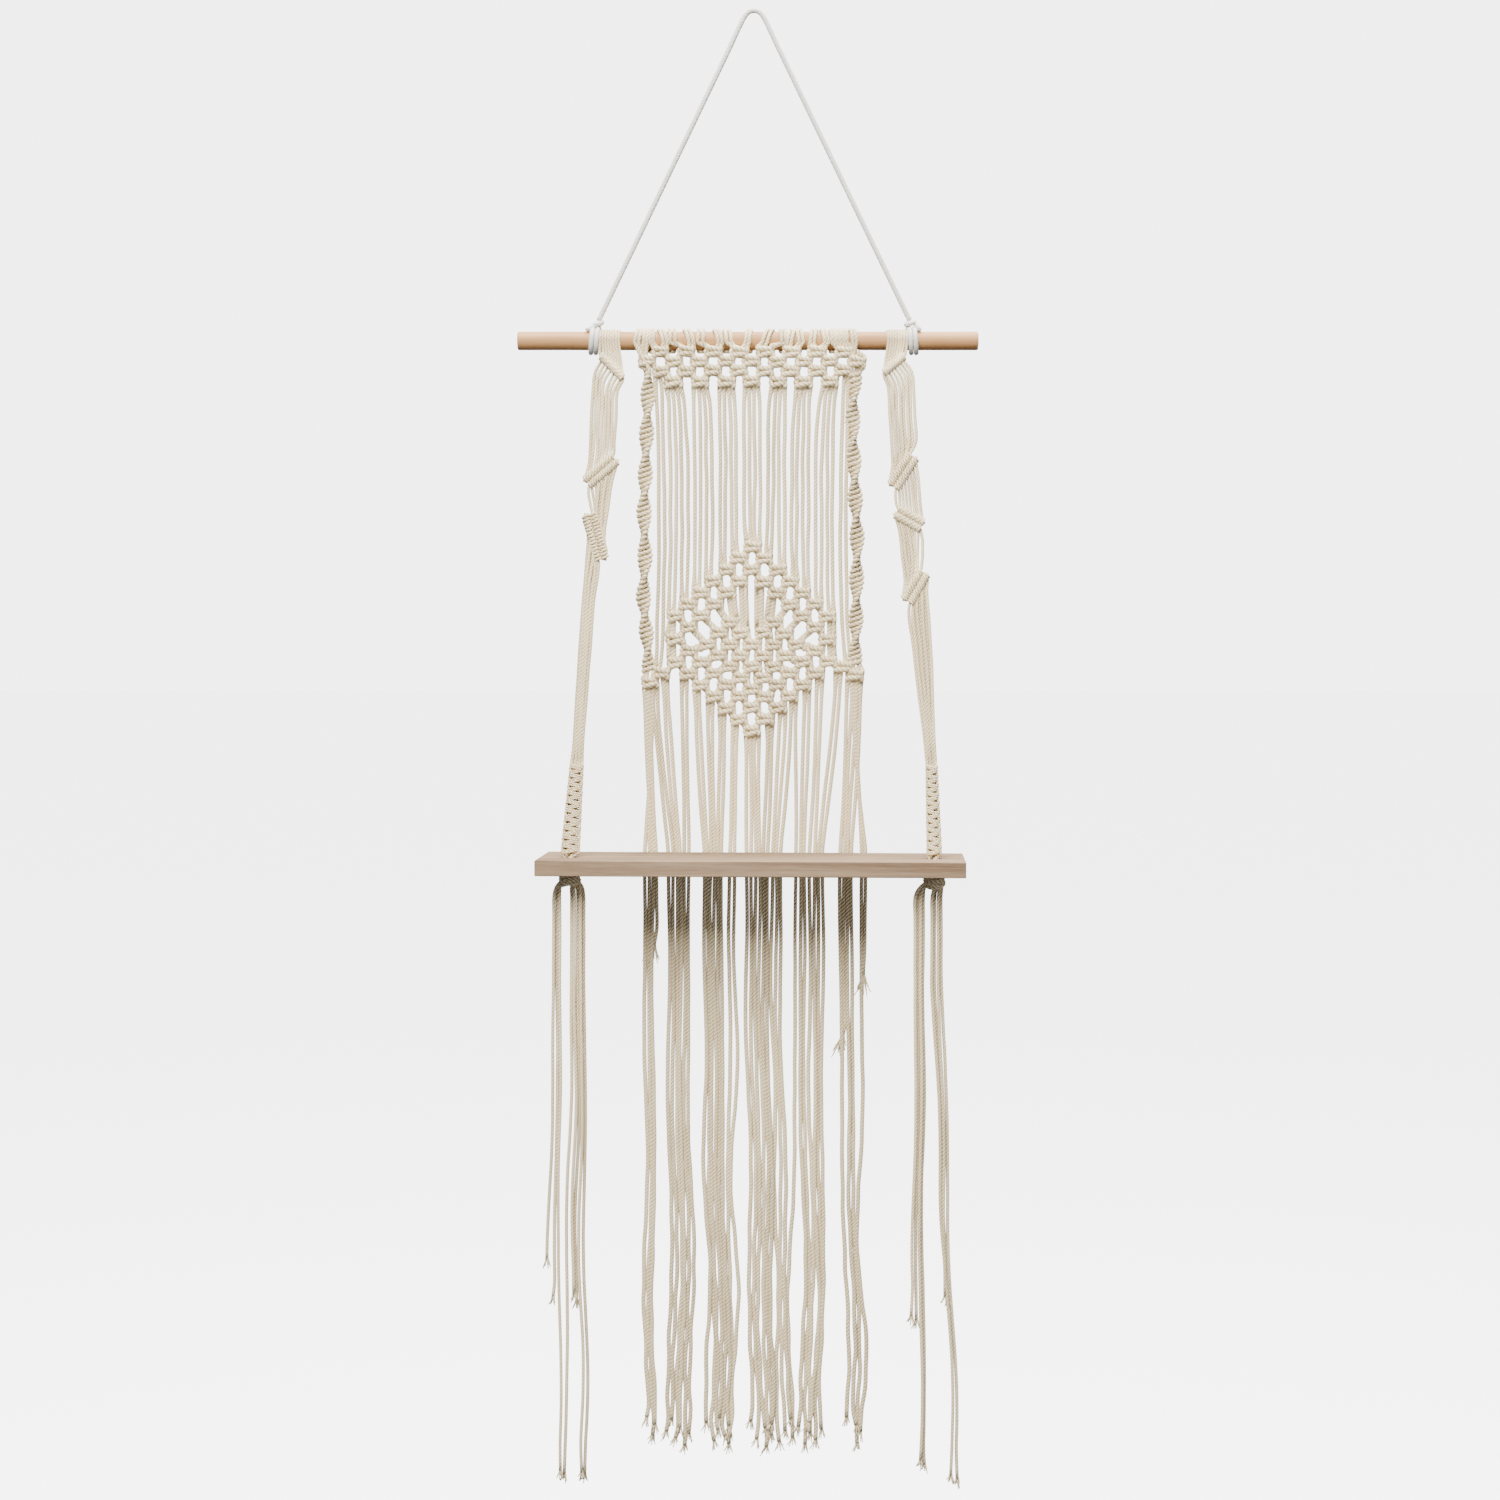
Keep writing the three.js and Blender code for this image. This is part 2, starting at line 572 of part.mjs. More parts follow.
// Fringe strands, from the diamond's keel or the foot of a sinnet to their loose ends
function fringeStrands() {
  return clusterPlaces().map(({ x: clusterX, cluster }, number) => {
    const edge = number < EDGE_STRANDS ? 0 : (number >= GROUPS * 4 - EDGE_STRANDS ? 1 : -1);
    const x = edge < 0 ? gridX(number) : SPIRALS[edge].bottomX + ((number % EDGE_STRANDS) - 1.5) * EDGE_PITCH;
    const end = SHORT_STRANDS[number] ?? FRINGE_END - FRINGE_UNEVEN * ((number * GOLDEN) % 1);
    const swayWay = cluster % 2 ? 1 : -1;
    const path = STATIONS.filter(({ z }) => z > end + LAST_STRETCH).map(({ z, gathered, sway }) =>
      onPanel(x + (clusterX - x) * gathered + sway * swayWay, z));
    const start = onPanel(x, edge < 0 ? keelZ(x) : EDGE_START);
    return strand([start, ...path, onPanel(clusterX + (number % 3) - 1, end)]);
  });
}

function panelTurns() {
  return TURNS.map(({ x, pairs, lean }) => turnsOnRod(
    x, pairs > 1 ? pairs * PACKED_PAIR_WIDTH : PAIR_WIDTH, pairs * 2, lean));
}

function panel() {
  const knots = [...bandKnots(), ...SPIRALS.map(spiral), ...KNOTTED_LINES.map(knottedLine)];
  const strands = [...headStrands(), ...netStrands(), ...fringeStrands()];
  return named('panel', fused([...panelTurns(), ...knots, ...strands]), COTTON);
}

// Depth of a strap: it leans forward from the dowel to its hole in the plank
function strapPoint(side, x, z) {
  const share = (PANEL_TOP - z) / (PANEL_TOP - SHELF_TOP);
  return new THREE.Vector3(x, STRAP_TOP_Y + (holeAt(side).y - STRAP_TOP_Y) * share, z);
}

// Bar of clove hitches: a thick rod of strands with a ridge for each hitch
function hitchBar(side, { fromX, fromZ, toX, toZ, rows }) {
  const points = [];
  const steps = 2 * BAR_RIDGES;
  for (let i = 0; i <= steps; i++) {
    const share = i / steps;
    points.push(strapPoint(side, fromX + (toX - fromX) * share, fromZ + (toZ - fromZ) * share));
  }
  const swell = (i) => (i % 2 ? 1 : BAR_GROOVE);
  return tube(points, {
    wide: (i) => BAR_HALF_HEIGHT * rows * swell(i) * Math.SQRT2,
    deep: (i) => BAR_HALF_DEPTH * swell(i) * Math.SQRT2,
    offset: Math.PI / 4,
  });
}

// Flat sinnet of square knots above the plank, and the neck of strands through the hole
function flatSinnet(strap) {
  const hole = holeAt(strap.side);
  const top = strapPoint(strap.side, strap.stations[strap.stations.length - 1].x, SINNET_TOP);
  const foot = hole.clone().add(new THREE.Vector3(0, 0, SINNET_FOOT));
  const points = [];
  for (let i = 0; i <= 2 * SINNET_KNOTS; i++) points.push(top.clone().lerp(foot, i / (2 * SINNET_KNOTS)));
  const { lerp } = THREE.MathUtils;
  const width = (i) => lerp(strap.sinnetTopHalf, strap.sinnetBottomHalf, i / (2 * SINNET_KNOTS));
  return tube(points, {
    wide: (i) => width(i) * (i % 2 ? 1 : SINNET_WAIST) * Math.SQRT2,
    deep: (i) => SINNET_HALF_DEPTH * (i % 2 ? 1 : SINNET_DIP) * Math.SQRT2,
    offset: Math.PI / 4,
  });
}

function strap(details) {
  const { name, turnX, side, stations, bars } = details;
  const hole = holeAt(side);
  const neck = new THREE.CylinderGeometry(NECK_RADIUS, NECK_RADIUS, SHELF_THICKNESS + NECK_RISE, 8);
  neck.rotateX(Math.PI / 2);
  neck.translate(hole.x, hole.y, SHELF_TOP + (NECK_RISE - SHELF_THICKNESS) / 2);
  const pieces = [turnsOnRod(turnX, STRAP_TURN_WIDTH, STRAP_STRANDS / 2), flatSinnet(details), neck];
  for (const bar of bars) pieces.push(hitchBar(side, bar));
  for (let number = 0; number < STRAP_STRANDS; number++) {
    const place = (2 * number) / (STRAP_STRANDS - 1) - 1;
    const layer = number % 2 ? STRAP_LAYER : -STRAP_LAYER;
    const path = stations.map(({ z, x, half }, i) => {
      const point = strapPoint(side, x + place * half, z);
      point.y += i === 0 ? 1 : layer * Math.min(1, LAYERED_HALF / half);
      return point;
    });
    const start = new THREE.Vector3(path[0].x, TURN_FOOT_Y, TURN_FOOT_Z);
    pieces.push(strand([start, ...path], STRAP_STRAND));
  }
  return named(name, fused(pieces), COTTON);
}

// Stopper knot, a ridged lump, with the strands of the tassel out of its foot
function tassel({ name, hole: side, strands }) {
  const hole = holeAt(side);
  const underside = SHELF_TOP - SHELF_THICKNESS;
  const middle = new THREE.Vector3(hole.x, hole.y, underside - GAP - STOPPER_HEIGHT / 2);
  const knot = tube(
    STOPPER_LEVELS.map(({ up }) => middle.clone().add(new THREE.Vector3(0, 0, (up * STOPPER_HEIGHT) / 2))),
    {
      sides: 8,
      wide: (i) => STOPPER_HALF_WIDTH * STOPPER_LEVELS[i].size,
      deep: (i) => STOPPER_HALF_DEPTH * STOPPER_LEVELS[i].size,
      turn: (i) => i * STOPPER_TWIST,
    },
  );
  const pieces = [knot];
  strands.forEach(({ top, low, end, endZ }, number) => {
    const layer = number % 2 ? TASSEL_LAYER : -TASSEL_LAYER;
    const place = (x, y, z) => new THREE.Vector3(hole.x + x, hole.y + y, z);
    pieces.push(strand([
      place(top, layer * 0.8, middle.z),
      place((top + low) / 2, layer, underside - STOPPER_HEIGHT - 6),
      place(low, layer, TASSEL_BULGE),
      place(low, layer, TASSEL_LOW),
      place(low + (end - low) * 0.5, layer + 0.6, (TASSEL_LOW + endZ) / 2),
      place(end, layer, endZ),
    ]));
  });
  return named(name, fused(pieces), COTTON);
}

const group = new THREE.Group();
group.add(rod(), shelf(), hangerCord());
for (const details of HITCHES) group.add(hangerHitch(details));
group.add(panel());
for (const details of STRAPS) group.add(strap(details));
for (const details of TASSELS) group.add(tassel(details));

export default group;
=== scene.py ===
# Macrame wall shelf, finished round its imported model: a dowel on a braided hanger cord carries a knotted
# cotton panel with a long fringe, and two knotted straps that hold a plank, with tassels under it.
import bpy
import numpy as np
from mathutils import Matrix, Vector


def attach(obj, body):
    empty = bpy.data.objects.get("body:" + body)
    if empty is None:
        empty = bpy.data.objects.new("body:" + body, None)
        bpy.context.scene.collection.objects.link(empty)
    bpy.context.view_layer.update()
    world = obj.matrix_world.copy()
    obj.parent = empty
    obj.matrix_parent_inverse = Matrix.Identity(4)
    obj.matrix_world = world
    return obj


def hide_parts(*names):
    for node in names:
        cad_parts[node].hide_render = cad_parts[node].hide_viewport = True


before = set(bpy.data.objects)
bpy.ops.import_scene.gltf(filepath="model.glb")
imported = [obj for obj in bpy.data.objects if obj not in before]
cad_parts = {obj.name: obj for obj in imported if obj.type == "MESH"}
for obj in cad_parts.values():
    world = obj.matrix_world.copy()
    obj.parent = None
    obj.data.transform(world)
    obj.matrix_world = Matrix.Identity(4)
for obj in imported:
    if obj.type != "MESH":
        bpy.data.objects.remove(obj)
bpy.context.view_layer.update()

# Camera. It stands square to the panel at the height of the diamond's middle, 2.4 m in front of the dowel.
# The frame is shifted down, so that the line of the camera's own height crosses it at the horizon's pixel.
MM = 0.001
CAMERA_PLACE = (-3.9 * MM, -2400 * MM, -613.2 * MM)
SEEN_WIDTH = 1467 * MM
SENSOR = 36
HORIZON_PIXEL = 640
FRAME_PIXELS = 1500

lens = bpy.data.cameras.new("camera")
lens.sensor_width = SENSOR
lens.lens = SENSOR * -CAMERA_PLACE[1] / SEEN_WIDTH
lens.shift_y = (HORIZON_PIXEL - FRAME_PIXELS / 2) / FRAME_PIXELS
camera = bpy.data.objects.new("camera", lens)
camera.location = CAMERA_PLACE
camera.rotation_euler = (np.pi / 2, 0, 0)
bpy.context.collection.objects.link(camera)
bpy.context.scene.camera = camera

# Hanger cord. A braided cotton cord, 5 mm thick, drawn straight from one end of the dowel over the hanging
# point to the other end, where it is hitched to the dowel.
HANGER_THICKNESS = 5 * MM
HANGER_SIDES = 16
HANGER_STEP = 0.9 * MM
BRAID_PITCH = 5.2 * MM
BRAID_RELIEF = 0.09
BRAID_STRANDS = 4
HANGER_ROUTE = np.array([
    [-151.5, 0, -299.9], [-145.1, 0, -286.6], [-127.8, 0, -250.6], [-110.5, 0, -214.6], [-93.2, 0, -178.5],
    [-75.9, 0, -142.5], [-58.5, 0, -106.4], [-41.2, 0, -70.4], [-23.9, 0, -34.3], [-9, 0, -3.3],
    [-5.2, 0, 1], [0, 0, 2.5], [5.2, 0, 1], [9, 0, -3.3],
    [24, 0, -34.3], [41.4, 0, -70.4], [58.7, 0, -106.4], [76.1, 0, -142.5], [93.4, 0, -178.5],
    [110.8, 0, -214.6], [128.2, 0, -250.6], [145.5, 0, -286.6], [151.7, 0, -299.4],
]) * MM
# Direction that no cord here starts in, from which its first cross direction is found
ODD_WAY = (0.03, 1, 0.02)


def spline(points, steps):
    """Smooth curve through points of three or more columns, with the given steps on each leg: the
    centripetal Catmull-Rom curve, where a leg's share of the parameter is the square root of its length,
    and each place on it blends the straight lines through the four nearest points."""
    points = np.asarray(points, float)
    padded = np.vstack([2 * points[0] - points[1], points, 2 * points[-1] - points[-2]])
    a, b, c, d = (padded[i:len(padded) - 3 + i, None, :] for i in range(4))
    legs = ((a, b), (b, c), (c, d))
    first, middle, last = (
        np.sqrt(np.linalg.norm((q - p)[..., :3], axis=2, keepdims=True)) for p, q in legs)
    t1, t2, t3 = first, first + middle, first + middle + last
    t = t1 + middle * np.linspace(0, 1, steps, endpoint=False)[None, :, None]
    ab = ((t1 - t) * a + t * b) / t1
    bc = ((t2 - t) * b + (t - t1) * c) / middle
    cd = ((t3 - t) * c + (t - t2) * d) / last
    abc = ((t2 - t) * ab + t * bc) / t2
    bcd = ((t3 - t) * bc + (t - t1) * cd) / (t3 - t1)
    curve = ((t2 - t) * abc + (t - t1) * bcd) / middle
    return np.vstack([curve.reshape(-1, points.shape[1]), points[-1]])


def lengths_along(path):
    """Distance along a path to each of its points: the running sum of its steps' lengths."""
    return np.concatenate([[0], np.cumsum(np.linalg.norm(np.diff(path, axis=0), axis=1))])


def even(path, step):
    """The path cut again at an even step along its length."""
    length = lengths_along(path)
    places = np.linspace(0, length[-1], int(length[-1] / step) + 2)
    return np.stack([np.interp(places, length, path[:, i]) for i in range(path.shape[1])], axis=1)


def frames(path):
    """Two cross directions at each point of a path. Each is the last one mirrored in the plane halfway to
    the next point and mirrored again onto the next tangent, so it never spins."""
    tangents = np.gradient(path, axis=0)
    tangents /= np.linalg.norm(tangents, axis=1, keepdims=True)
    side = np.cross(tangents[0], ODD_WAY)
    sides = [side / np.linalg.norm(side)]
    least = 1e-12
    for i in range(len(path) - 1):
        step = path[i + 1] - path[i]
        size = step @ step
        mirrored = sides[-1] - 2 * (step @ sides[-1]) / size * step
        tangent = tangents[i] - 2 * (step @ tangents[i]) / size * step
        turn = tangents[i + 1] - tangent
        mirrored = mirrored - 2 * (turn @ mirrored) / max(turn @ turn, least) * turn
        sides.append(mirrored)
    sides = np.array(sides)
    return sides, np.cross(tangents, sides)


def cord(path, radius, sides, relief=None, shade=0.5):
    """One round cord: at each point of the path a ring of the given radius, times 1 plus the relief at its
    angle and its place along the cord. Gives the grid of points, the length along the cord, and its shade."""
    side, up = frames(path)
    along = lengths_along(path)
    angle = np.arange(sides) * 2 * np.pi / sides
    size = np.broadcast_to(np.asarray(radius, float), len(path))[:, None]
    if relief is not None:
        size = size * (1 + relief(angle[None, :], along[:, None]))
    grid = (path[:, None, :] + (size * np.cos(angle))[..., None] * side[:, None, :]
            + (size * np.sin(angle))[..., None] * up[:, None, :])
    return grid, along, shade


def cord_piece(name, cords, look, *nodes):
    """One closed mesh of many cords, each a grid of rings: a quad joins each four neighbours and a flat
    face closes each end. The UV map runs once round a cord, and on along it in metres. It rides on the one
    body and stands for the named nodes."""
    co, quads, quad_uv, caps, cap_uv, shades = [], [], [], [], [], []
    start = 0
    for grid, along, shade in cords:
        count, sides = grid.shape[:2]
        i, j = np.meshgrid(np.arange(count - 1), np.arange(sides), indexing="ij")
        a = start + i * sides + j
        b = start + i * sides + (j + 1) % sides
        quads.append(np.stack([a, b, b + sides, a + sides], axis=-1).reshape(-1))
        u0, u1, v0, v1 = j / sides, (j + 1) / sides, along[i], along[i + 1]
        quad_uv.append(np.stack([u0, v0, u1, v0, u1, v1, u0, v1], axis=-1).reshape(-1))
        ring = start + np.arange(sides)
        caps.append((ring[::-1], ring + (count - 1) * sides))
        cap_uv.append((along[0], along[-1]))
        co.append(grid.reshape(-1))
        shades.append(np.full(count * sides, shade))
        start += count * sides
    corners = [np.concatenate(quads)]
    uv = [np.concatenate(quad_uv)]
    totals = [np.full(len(corners[0]) // 4, 4)]
    for ends, places in zip(caps, cap_uv):
        for ring, place in zip(ends, places):
            around = np.arange(len(ring)) / len(ring)
            corners.append(ring)
            uv.append(np.stack([around, np.full(len(ring), place)], axis=-1).reshape(-1))
            totals.append(np.array([len(ring)]))
    corners, totals = np.concatenate(corners), np.concatenate(totals)
    mesh = bpy.data.meshes.new(name)
    mesh.vertices.add(start)
    mesh.vertices.foreach_set("co", np.concatenate(co))
    mesh.loops.add(len(corners))
    mesh.loops.foreach_set("vertex_index", corners)
    mesh.polygons.add(len(totals))
    mesh.polygons.foreach_set("loop_start", np.concatenate([[0], np.cumsum(totals)[:-1]]))
    mesh.polygons.foreach_set("use_smooth", np.ones(len(totals), bool))
    mesh.uv_layers.new(name="along_cord").data.foreach_set("uv", np.concatenate(uv))
    mesh.attributes.new("shade", "FLOAT", "POINT").data.foreach_set("value", np.concatenate(shades))
    mesh.update(calc_edges=True)
    mesh.materials.append(look)
    piece = bpy.data.objects.new(name, mesh)
    bpy.context.collection.objects.link(piece)
    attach(piece, "root")
    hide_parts(*nodes)
    return piece


class Flow:
    """A socket of a material's nodes. Sums, differences, products and powers add Math nodes, and node()
    makes any other node in the same tree."""

    def __init__(self, tree, socket=None):
        self.tree = tree
        self.socket = socket

    def node(self, kind, settings=None, inputs=None, output=0):
        """Adds a node of that kind, with its settings made first and its sockets set or linked."""
        made = self.tree.nodes.new(kind)
        for key, value in (settings or {}).items():
            setattr(made, key, value)
        for key, value in (inputs or {}).items():
            if isinstance(value, Flow):
                self.tree.links.new(value.socket, made.inputs[key])
            else:
                made.inputs[key].default_value = value
        return Flow(self.tree, made.outputs[output])

    def maths(self, operation, first, second=0.0):
        """A Math node of one or two values."""
        return self.node("ShaderNodeMath", {"operation": operation}, {0: first, 1: second})

    def __add__(self, other):
        return self.maths("ADD", self, other)

    __radd__ = __add__

    def __sub__(self, other):
        return self.maths("SUBTRACT", self, other)

    def __rsub__(self, other):
        return self.maths("SUBTRACT", other, self)

    def __mul__(self, other):
        return self.maths("MULTIPLY", self, other)

    __rmul__ = __mul__

    def __pow__(self, other):
        return self.maths("POWER", self, other)

    def cosine(self):
        return self.maths("COSINE", self)

    def size(self):
        return self.maths("ABSOLUTE", self)

    def mix(self, low, high):
        """Colour from low, where this is 0, to high, where it is 1."""
        settings = {"data_type": "RGBA"}
        return self.node("ShaderNodeMix", settings, {0: self, 6: low, 7: high}, output=2)


def new_look(name, roughness):
    """A bare material: its tree's start, and its main shader with the roughness set."""
    look = bpy.data.materials.new(name)
    look.use_nodes = True
    shader = look.node_tree.nodes["Principled BSDF"]
    shader.inputs["Roughness"].default_value = roughness
    return look, Flow(look.node_tree), shader


def linear(red, green, blue):
    """A colour given as on a screen, from 0 to 255, as the shader wants it."""
    value = np.array([red, green, blue]) / 255
    return (*np.where(value < 0.04045, value / 12.92, ((value + 0.055) / 1.055) ** 2.4), 1)


COTTON_ROUGHNESS = 0.92
COTTON_SHEEN = 0.25
FIBRE_SCALE = 900
PATCH_SCALE = 14
PLY_DEPTH = 0.4 * MM
PLY_STRENGTH = 0.45


def twisted_cotton(name, lit, painted_groove_shade, plies=3, lay=11 * MM):
    """Soft cord of twisted plies. The turns round the cord, less the turns along it, times the number of
    plies, counts the plies. A cosine with half a wave for each ply, taken without its sign, is 1 on a ply's
    back and 0 in the grooves between plies. The colour goes from the lit colour on a ply's back to a darker
    colour in the grooves, which is painted shade. Fine fibres, each cord's own shade and slow patches add
    to it."""
    look, start, shader = new_look(name, COTTON_ROUGHNESS)
    uv = start.node("ShaderNodeUVMap", {"uv_map": "along_cord"})
    u = start.node("ShaderNodeSeparateXYZ", inputs={0: uv}, output=0)
    v = start.node("ShaderNodeSeparateXYZ", inputs={0: uv}, output=1)
    place = start.node("ShaderNodeTexCoord", output=3)
    fibre = start.node("ShaderNodeTexNoise", inputs={
        "Vector": place, "Scale": FIBRE_SCALE, "Detail": 3, "Roughness": 0.7})
    patch = start.node("ShaderNodeTexNoise", inputs={"Vector": place, "Scale": PATCH_SCALE, "Detail": 2})
    shade = start.node("ShaderNodeAttribute", {"attribute_name": "shade"}, output=2)
    ply = (np.pi * plies * (u - v * (1 / lay))).cosine().size()
    height = ply ** 0.6 + 0.35 * fibre
    tone = ply ** 0.7 * 0.8 + 0.3 * fibre + 0.16 * (shade - 0.5) + 0.3 * (patch - 0.5)
    # Painted shade: the second colour darkens the grooves between the plies.
    start.tree.links.new(tone.mix(painted_groove_shade, lit).socket, shader.inputs["Base Color"])
    bump = start.node("ShaderNodeBump", inputs={
        "Height": height, "Strength": PLY_STRENGTH, "Distance": PLY_DEPTH})
    start.tree.links.new(bump.socket, shader.inputs["Normal"])
    shader.inputs["Sheen Weight"].default_value = COTTON_SHEEN
    shader.inputs["Sheen Roughness"].default_value = 0.6
    shader.inputs["Specular IOR Level"].default_value = 0.2
    return look


# The second colour is painted shade for the grooves between the plies.
pale_cotton = twisted_cotton(
    "pale_cotton", linear(240, 238, 234), linear(176, 172, 166), plies=4, lay=7 * MM)


def braid(angle, along):
    """Crossing strands of a round braid: the higher of two waves that wind round the cord in opposite
    ways."""
    turn = 2 * np.pi * along / BRAID_PITCH
    one_way = np.cos(BRAID_STRANDS * angle + turn)
    other_way = np.cos(BRAID_STRANDS * angle - turn)
    return BRAID_RELIEF * (np.maximum(one_way, other_way) - 0.5)


hanger_path = even(spline(HANGER_ROUTE, 8), HANGER_STEP)
hanger_cord = cord(hanger_path, HANGER_THICKNESS / 2, HANGER_SIDES, braid)
hanger = cord_piece("hanger_braid", [hanger_cord], pale_cotton, "hanger_cord")

# Dowel. A sanded beech rod, 18 mm thick and 450 mm long, with softly rounded ends. Everything else hangs
# from it.
ROD_RADIUS = 9 * MM
ROD_LENGTH = 450 * MM
ROD_X = -6 * MM
ROD_Z = -320.8 * MM
ROD_EDGE = 1.2 * MM
ROD_SIDES = 48
ROD_RINGS = 60
SANDING_DEPTH = 0.004
SANDING_LONG = 60 * MM
SANDING_SHORT = 23 * MM
STREAK_SCALE = 3
PORE_SCALE = (45, 1500, 1500)
GRAIN_DEPTH = 0.2 * MM


def rod_relief(angle, along):
    """Low waves of a hand-sanded rod: two slow sines that wind along it, one of them twice round it."""
    long_wave = np.sin(2 * angle + along / SANDING_LONG)
    short_wave = np.sin(along / SANDING_SHORT + angle)
    return SANDING_DEPTH * long_wave + SANDING_DEPTH * short_wave


edge = np.linspace(0, np.pi / 2, 6)
rise = ROD_EDGE * (1 - np.cos(edge))
fall = ROD_RADIUS - ROD_EDGE + ROD_EDGE * np.sin(edge)
spans = np.linspace(rise[-1], ROD_LENGTH - rise[-1], ROD_RINGS)
rod_along = np.concatenate([rise, spans[1:-1], ROD_LENGTH - rise[::-1]])
rod_size = np.concatenate([fall, np.full(len(spans) - 2, ROD_RADIUS), fall[::-1]])
rod_path = np.stack([
    ROD_X - ROD_LENGTH / 2 + rod_along, np.zeros(len(rod_along)), np.full(len(rod_along), ROD_Z)], axis=1)


def wood(name, light, dark, grain_scale, turn=0.0, roughness=0.6):
    """Straight-grained wood: stretched noise makes long streaks, finer stretched noise makes pores, and the
    grain runs along X turned by the given angle."""
    look, start, shader = new_look(name, roughness)
    place = start.node("ShaderNodeTexCoord", output=3)
    along = start.node("ShaderNodeMapping", inputs={"Vector": place, "Rotation": (0, 0, -turn)})
    streaks = start.node("ShaderNodeMapping", inputs={
        "Vector": along, "Scale": (STREAK_SCALE, grain_scale, grain_scale)})
    pores = start.node("ShaderNodeMapping", inputs={"Vector": along, "Scale": PORE_SCALE})
    broad = start.node("ShaderNodeTexNoise", inputs={
        "Vector": streaks, "Scale": 1, "Detail": 5, "Roughness": 0.6, "Distortion": 0.6})
    fine = start.node("ShaderNodeTexNoise", inputs={"Vector": pores, "Scale": 1, "Detail": 2})
    tone = broad * 1.5 - 0.35 + (fine - 0.5) * 0.5
    start.tree.links.new(tone.mix(dark, light).socket, shader.inputs["Base Color"])
    height = broad * 0.5 + fine
    bump = start.node("ShaderNodeBump", inputs={
        "Height": height, "Strength": 0.25, "Distance": GRAIN_DEPTH})
    start.tree.links.new(bump.socket, shader.inputs["Normal"])
    shader.inputs["Specular IOR Level"].default_value = 0.3
    return look


beech = wood("beech", linear(208, 162, 110), linear(160, 114, 72), 90)
dowel = cord_piece("dowel", [cord(rod_path, rod_size, ROD_SIDES, rod_relief)], beech, "rod")

# Plank. A planed softwood board, 15 mm thick, with a hole near each end for its strap. It hangs a little
# turned, and keeps the shape of its CAD node.
SHELF_YAW = np.radians(-2.9)
board = wood(
    "pale_board", linear(186, 162, 134), linear(98, 74, 52), 130, turn=SHELF_YAW, roughness=0.7)
for node_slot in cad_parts["shelf"].material_slots:
    node_slot.material = board

# Centre panel. Forty strands of soft three-ply cotton, about 4 mm thick, hang from the dowel as twenty
# doubled cords. They are tied into a band of alternating square knots, two spiral sinnets, and a double
# diamond with a heart in it, and end in a fringe. Sizes are in millimetres.
STRANDS = 40
STRAND_RADIUS = 1.95
KNOT_RADIUS = 2.7
KNOT_HALF = 8.1
PITCH = 6.35
HOME_PITCH = 5.8
PANEL_X = -2
PANEL_TOP = -331
PANEL_TOP_Y = -8.5
FRINGE_Y = 11
SHELF_TOP = -821
PANEL_PARTS = 4
CORD_SIDES = 8
LEG_STEPS = 3
# Angles round the dowel of a turn's points, from under its back over its top to under its front
TURN_STEPS = np.radians([-68, -40, -10, 20, 50, 80, 110, 140, 170, 196])
PANEL_TURN_RADIUS = 1.75
# Each doubled cord on the dowel: its middle, half the space between its legs, and how far its foot lies to
# the right of its top
TURNS = np.array([
    [-112.5, 1.9, -2.5], [-105.8, 1.6, 0], [-99.7, 1.6, 0.4], [-89.3, 2.0, 4.4], [-79.8, 2.5, 1.3],
    [-64.0, 2.1, 4.2], [-51.9, 2.6, -0.2], [-35.4, 1.9, 3.8], [-25.6, 2.4, 2.4], [-5.4, 1.8, -1.7],
    [13.8, 2.4, -5.2], [28.3, 2.0, 0.8], [36.4, 2.0, -3.2], [44.5, 2.0, 2.0], [58.1, 2.0, -2.2],
    [68.8, 1.8, 3.0], [76.8, 1.6, 1.0], [82.8, 1.6, 0], [88.9, 1.6, 0.5], [96.8, 1.8, 2.0],
])
# How far a hand ties a knot off its place, across and up, and its tilt and size
HAND_ACROSS = 0.7
HAND_UP = 0.6
HAND_TILT = 0.14
HAND_SIZE = (0.93, 1.06)
# Rows of the band: height, the first strand of the first knot, and the number of knots
BAND_ROWS = [(-332.5, 4, 8), (-341.8, 2, 9), (-351.0, 4, 8), (-361.3, 6, 7)]
# The diamond's knots stand on a grid whose middle column starts at this strand. Its side corners are six
# columns out, and its foot is sixteen rows down.
MIDDLE_STRAND = 18
COLUMN = 12.4
ROW = 11.25
DIAMOND_TOP = -522.3
DIAMOND_CORNER = 6
DIAMOND_ROWS = 16
CORNER_ROWS = (8, 10)
# The heart's rows on its own, tighter grid, and the columns of the knots in each
HEART_COLUMN = 10.8
HEART_ROW = 10.95
HEART_TOP = -529.9
HEART = {
    6: (-2, 2), 7: (-3, -1, 1, 3), 8: (-4, -2, 0, 2, 4), 9: (-3, -1, 1, 3), 10: (-2, 0, 2),
    11: (-1, 1), 12: (0,),
}
# Knots that link the diamond's corners to the sinnets: place, height and first strand
LINKS = [(-90.9, -646.0, 4), (-101.6, -655.0, 2), (87.4, -639.5, 32), (98.6, -648.0, 34)]
# Sinnets down both sides, by their first strand: heights where the flat of the sinnet faces forward, and
# its place there
SINNETS = {
    0: np.array([[-338, -103.5], [-375, -103.3], [-412.4, -104.9], [-452.4, -106.2], [-488.4, -107.6],
                 [-532.3, -106.4], [-571.8, -108.4], [-605.4, -105.4], [-642, -102.6]]),
    36: np.array([[-360, 98], [-398.3, 96.2], [-437, 97.5], [-474.5, 99], [-511.3, 100.8],
                  [-553.2, 100.4], [-591.8, 100], [-630.5, 98.8]]),
}
SINNET_START = -352
SINNET_ENDS = {0: -645, 36: -637}
HALF_KNOT = 5.4
SINNET_WIDE = 5.9
SINNET_DEEP = 1.9
SINNET_RADIUS = 2.1
SINNET_CORE = 1.3
SINNET_CORE_RADIUS = 1.2
SINNET_CORE_STEP = 12.0
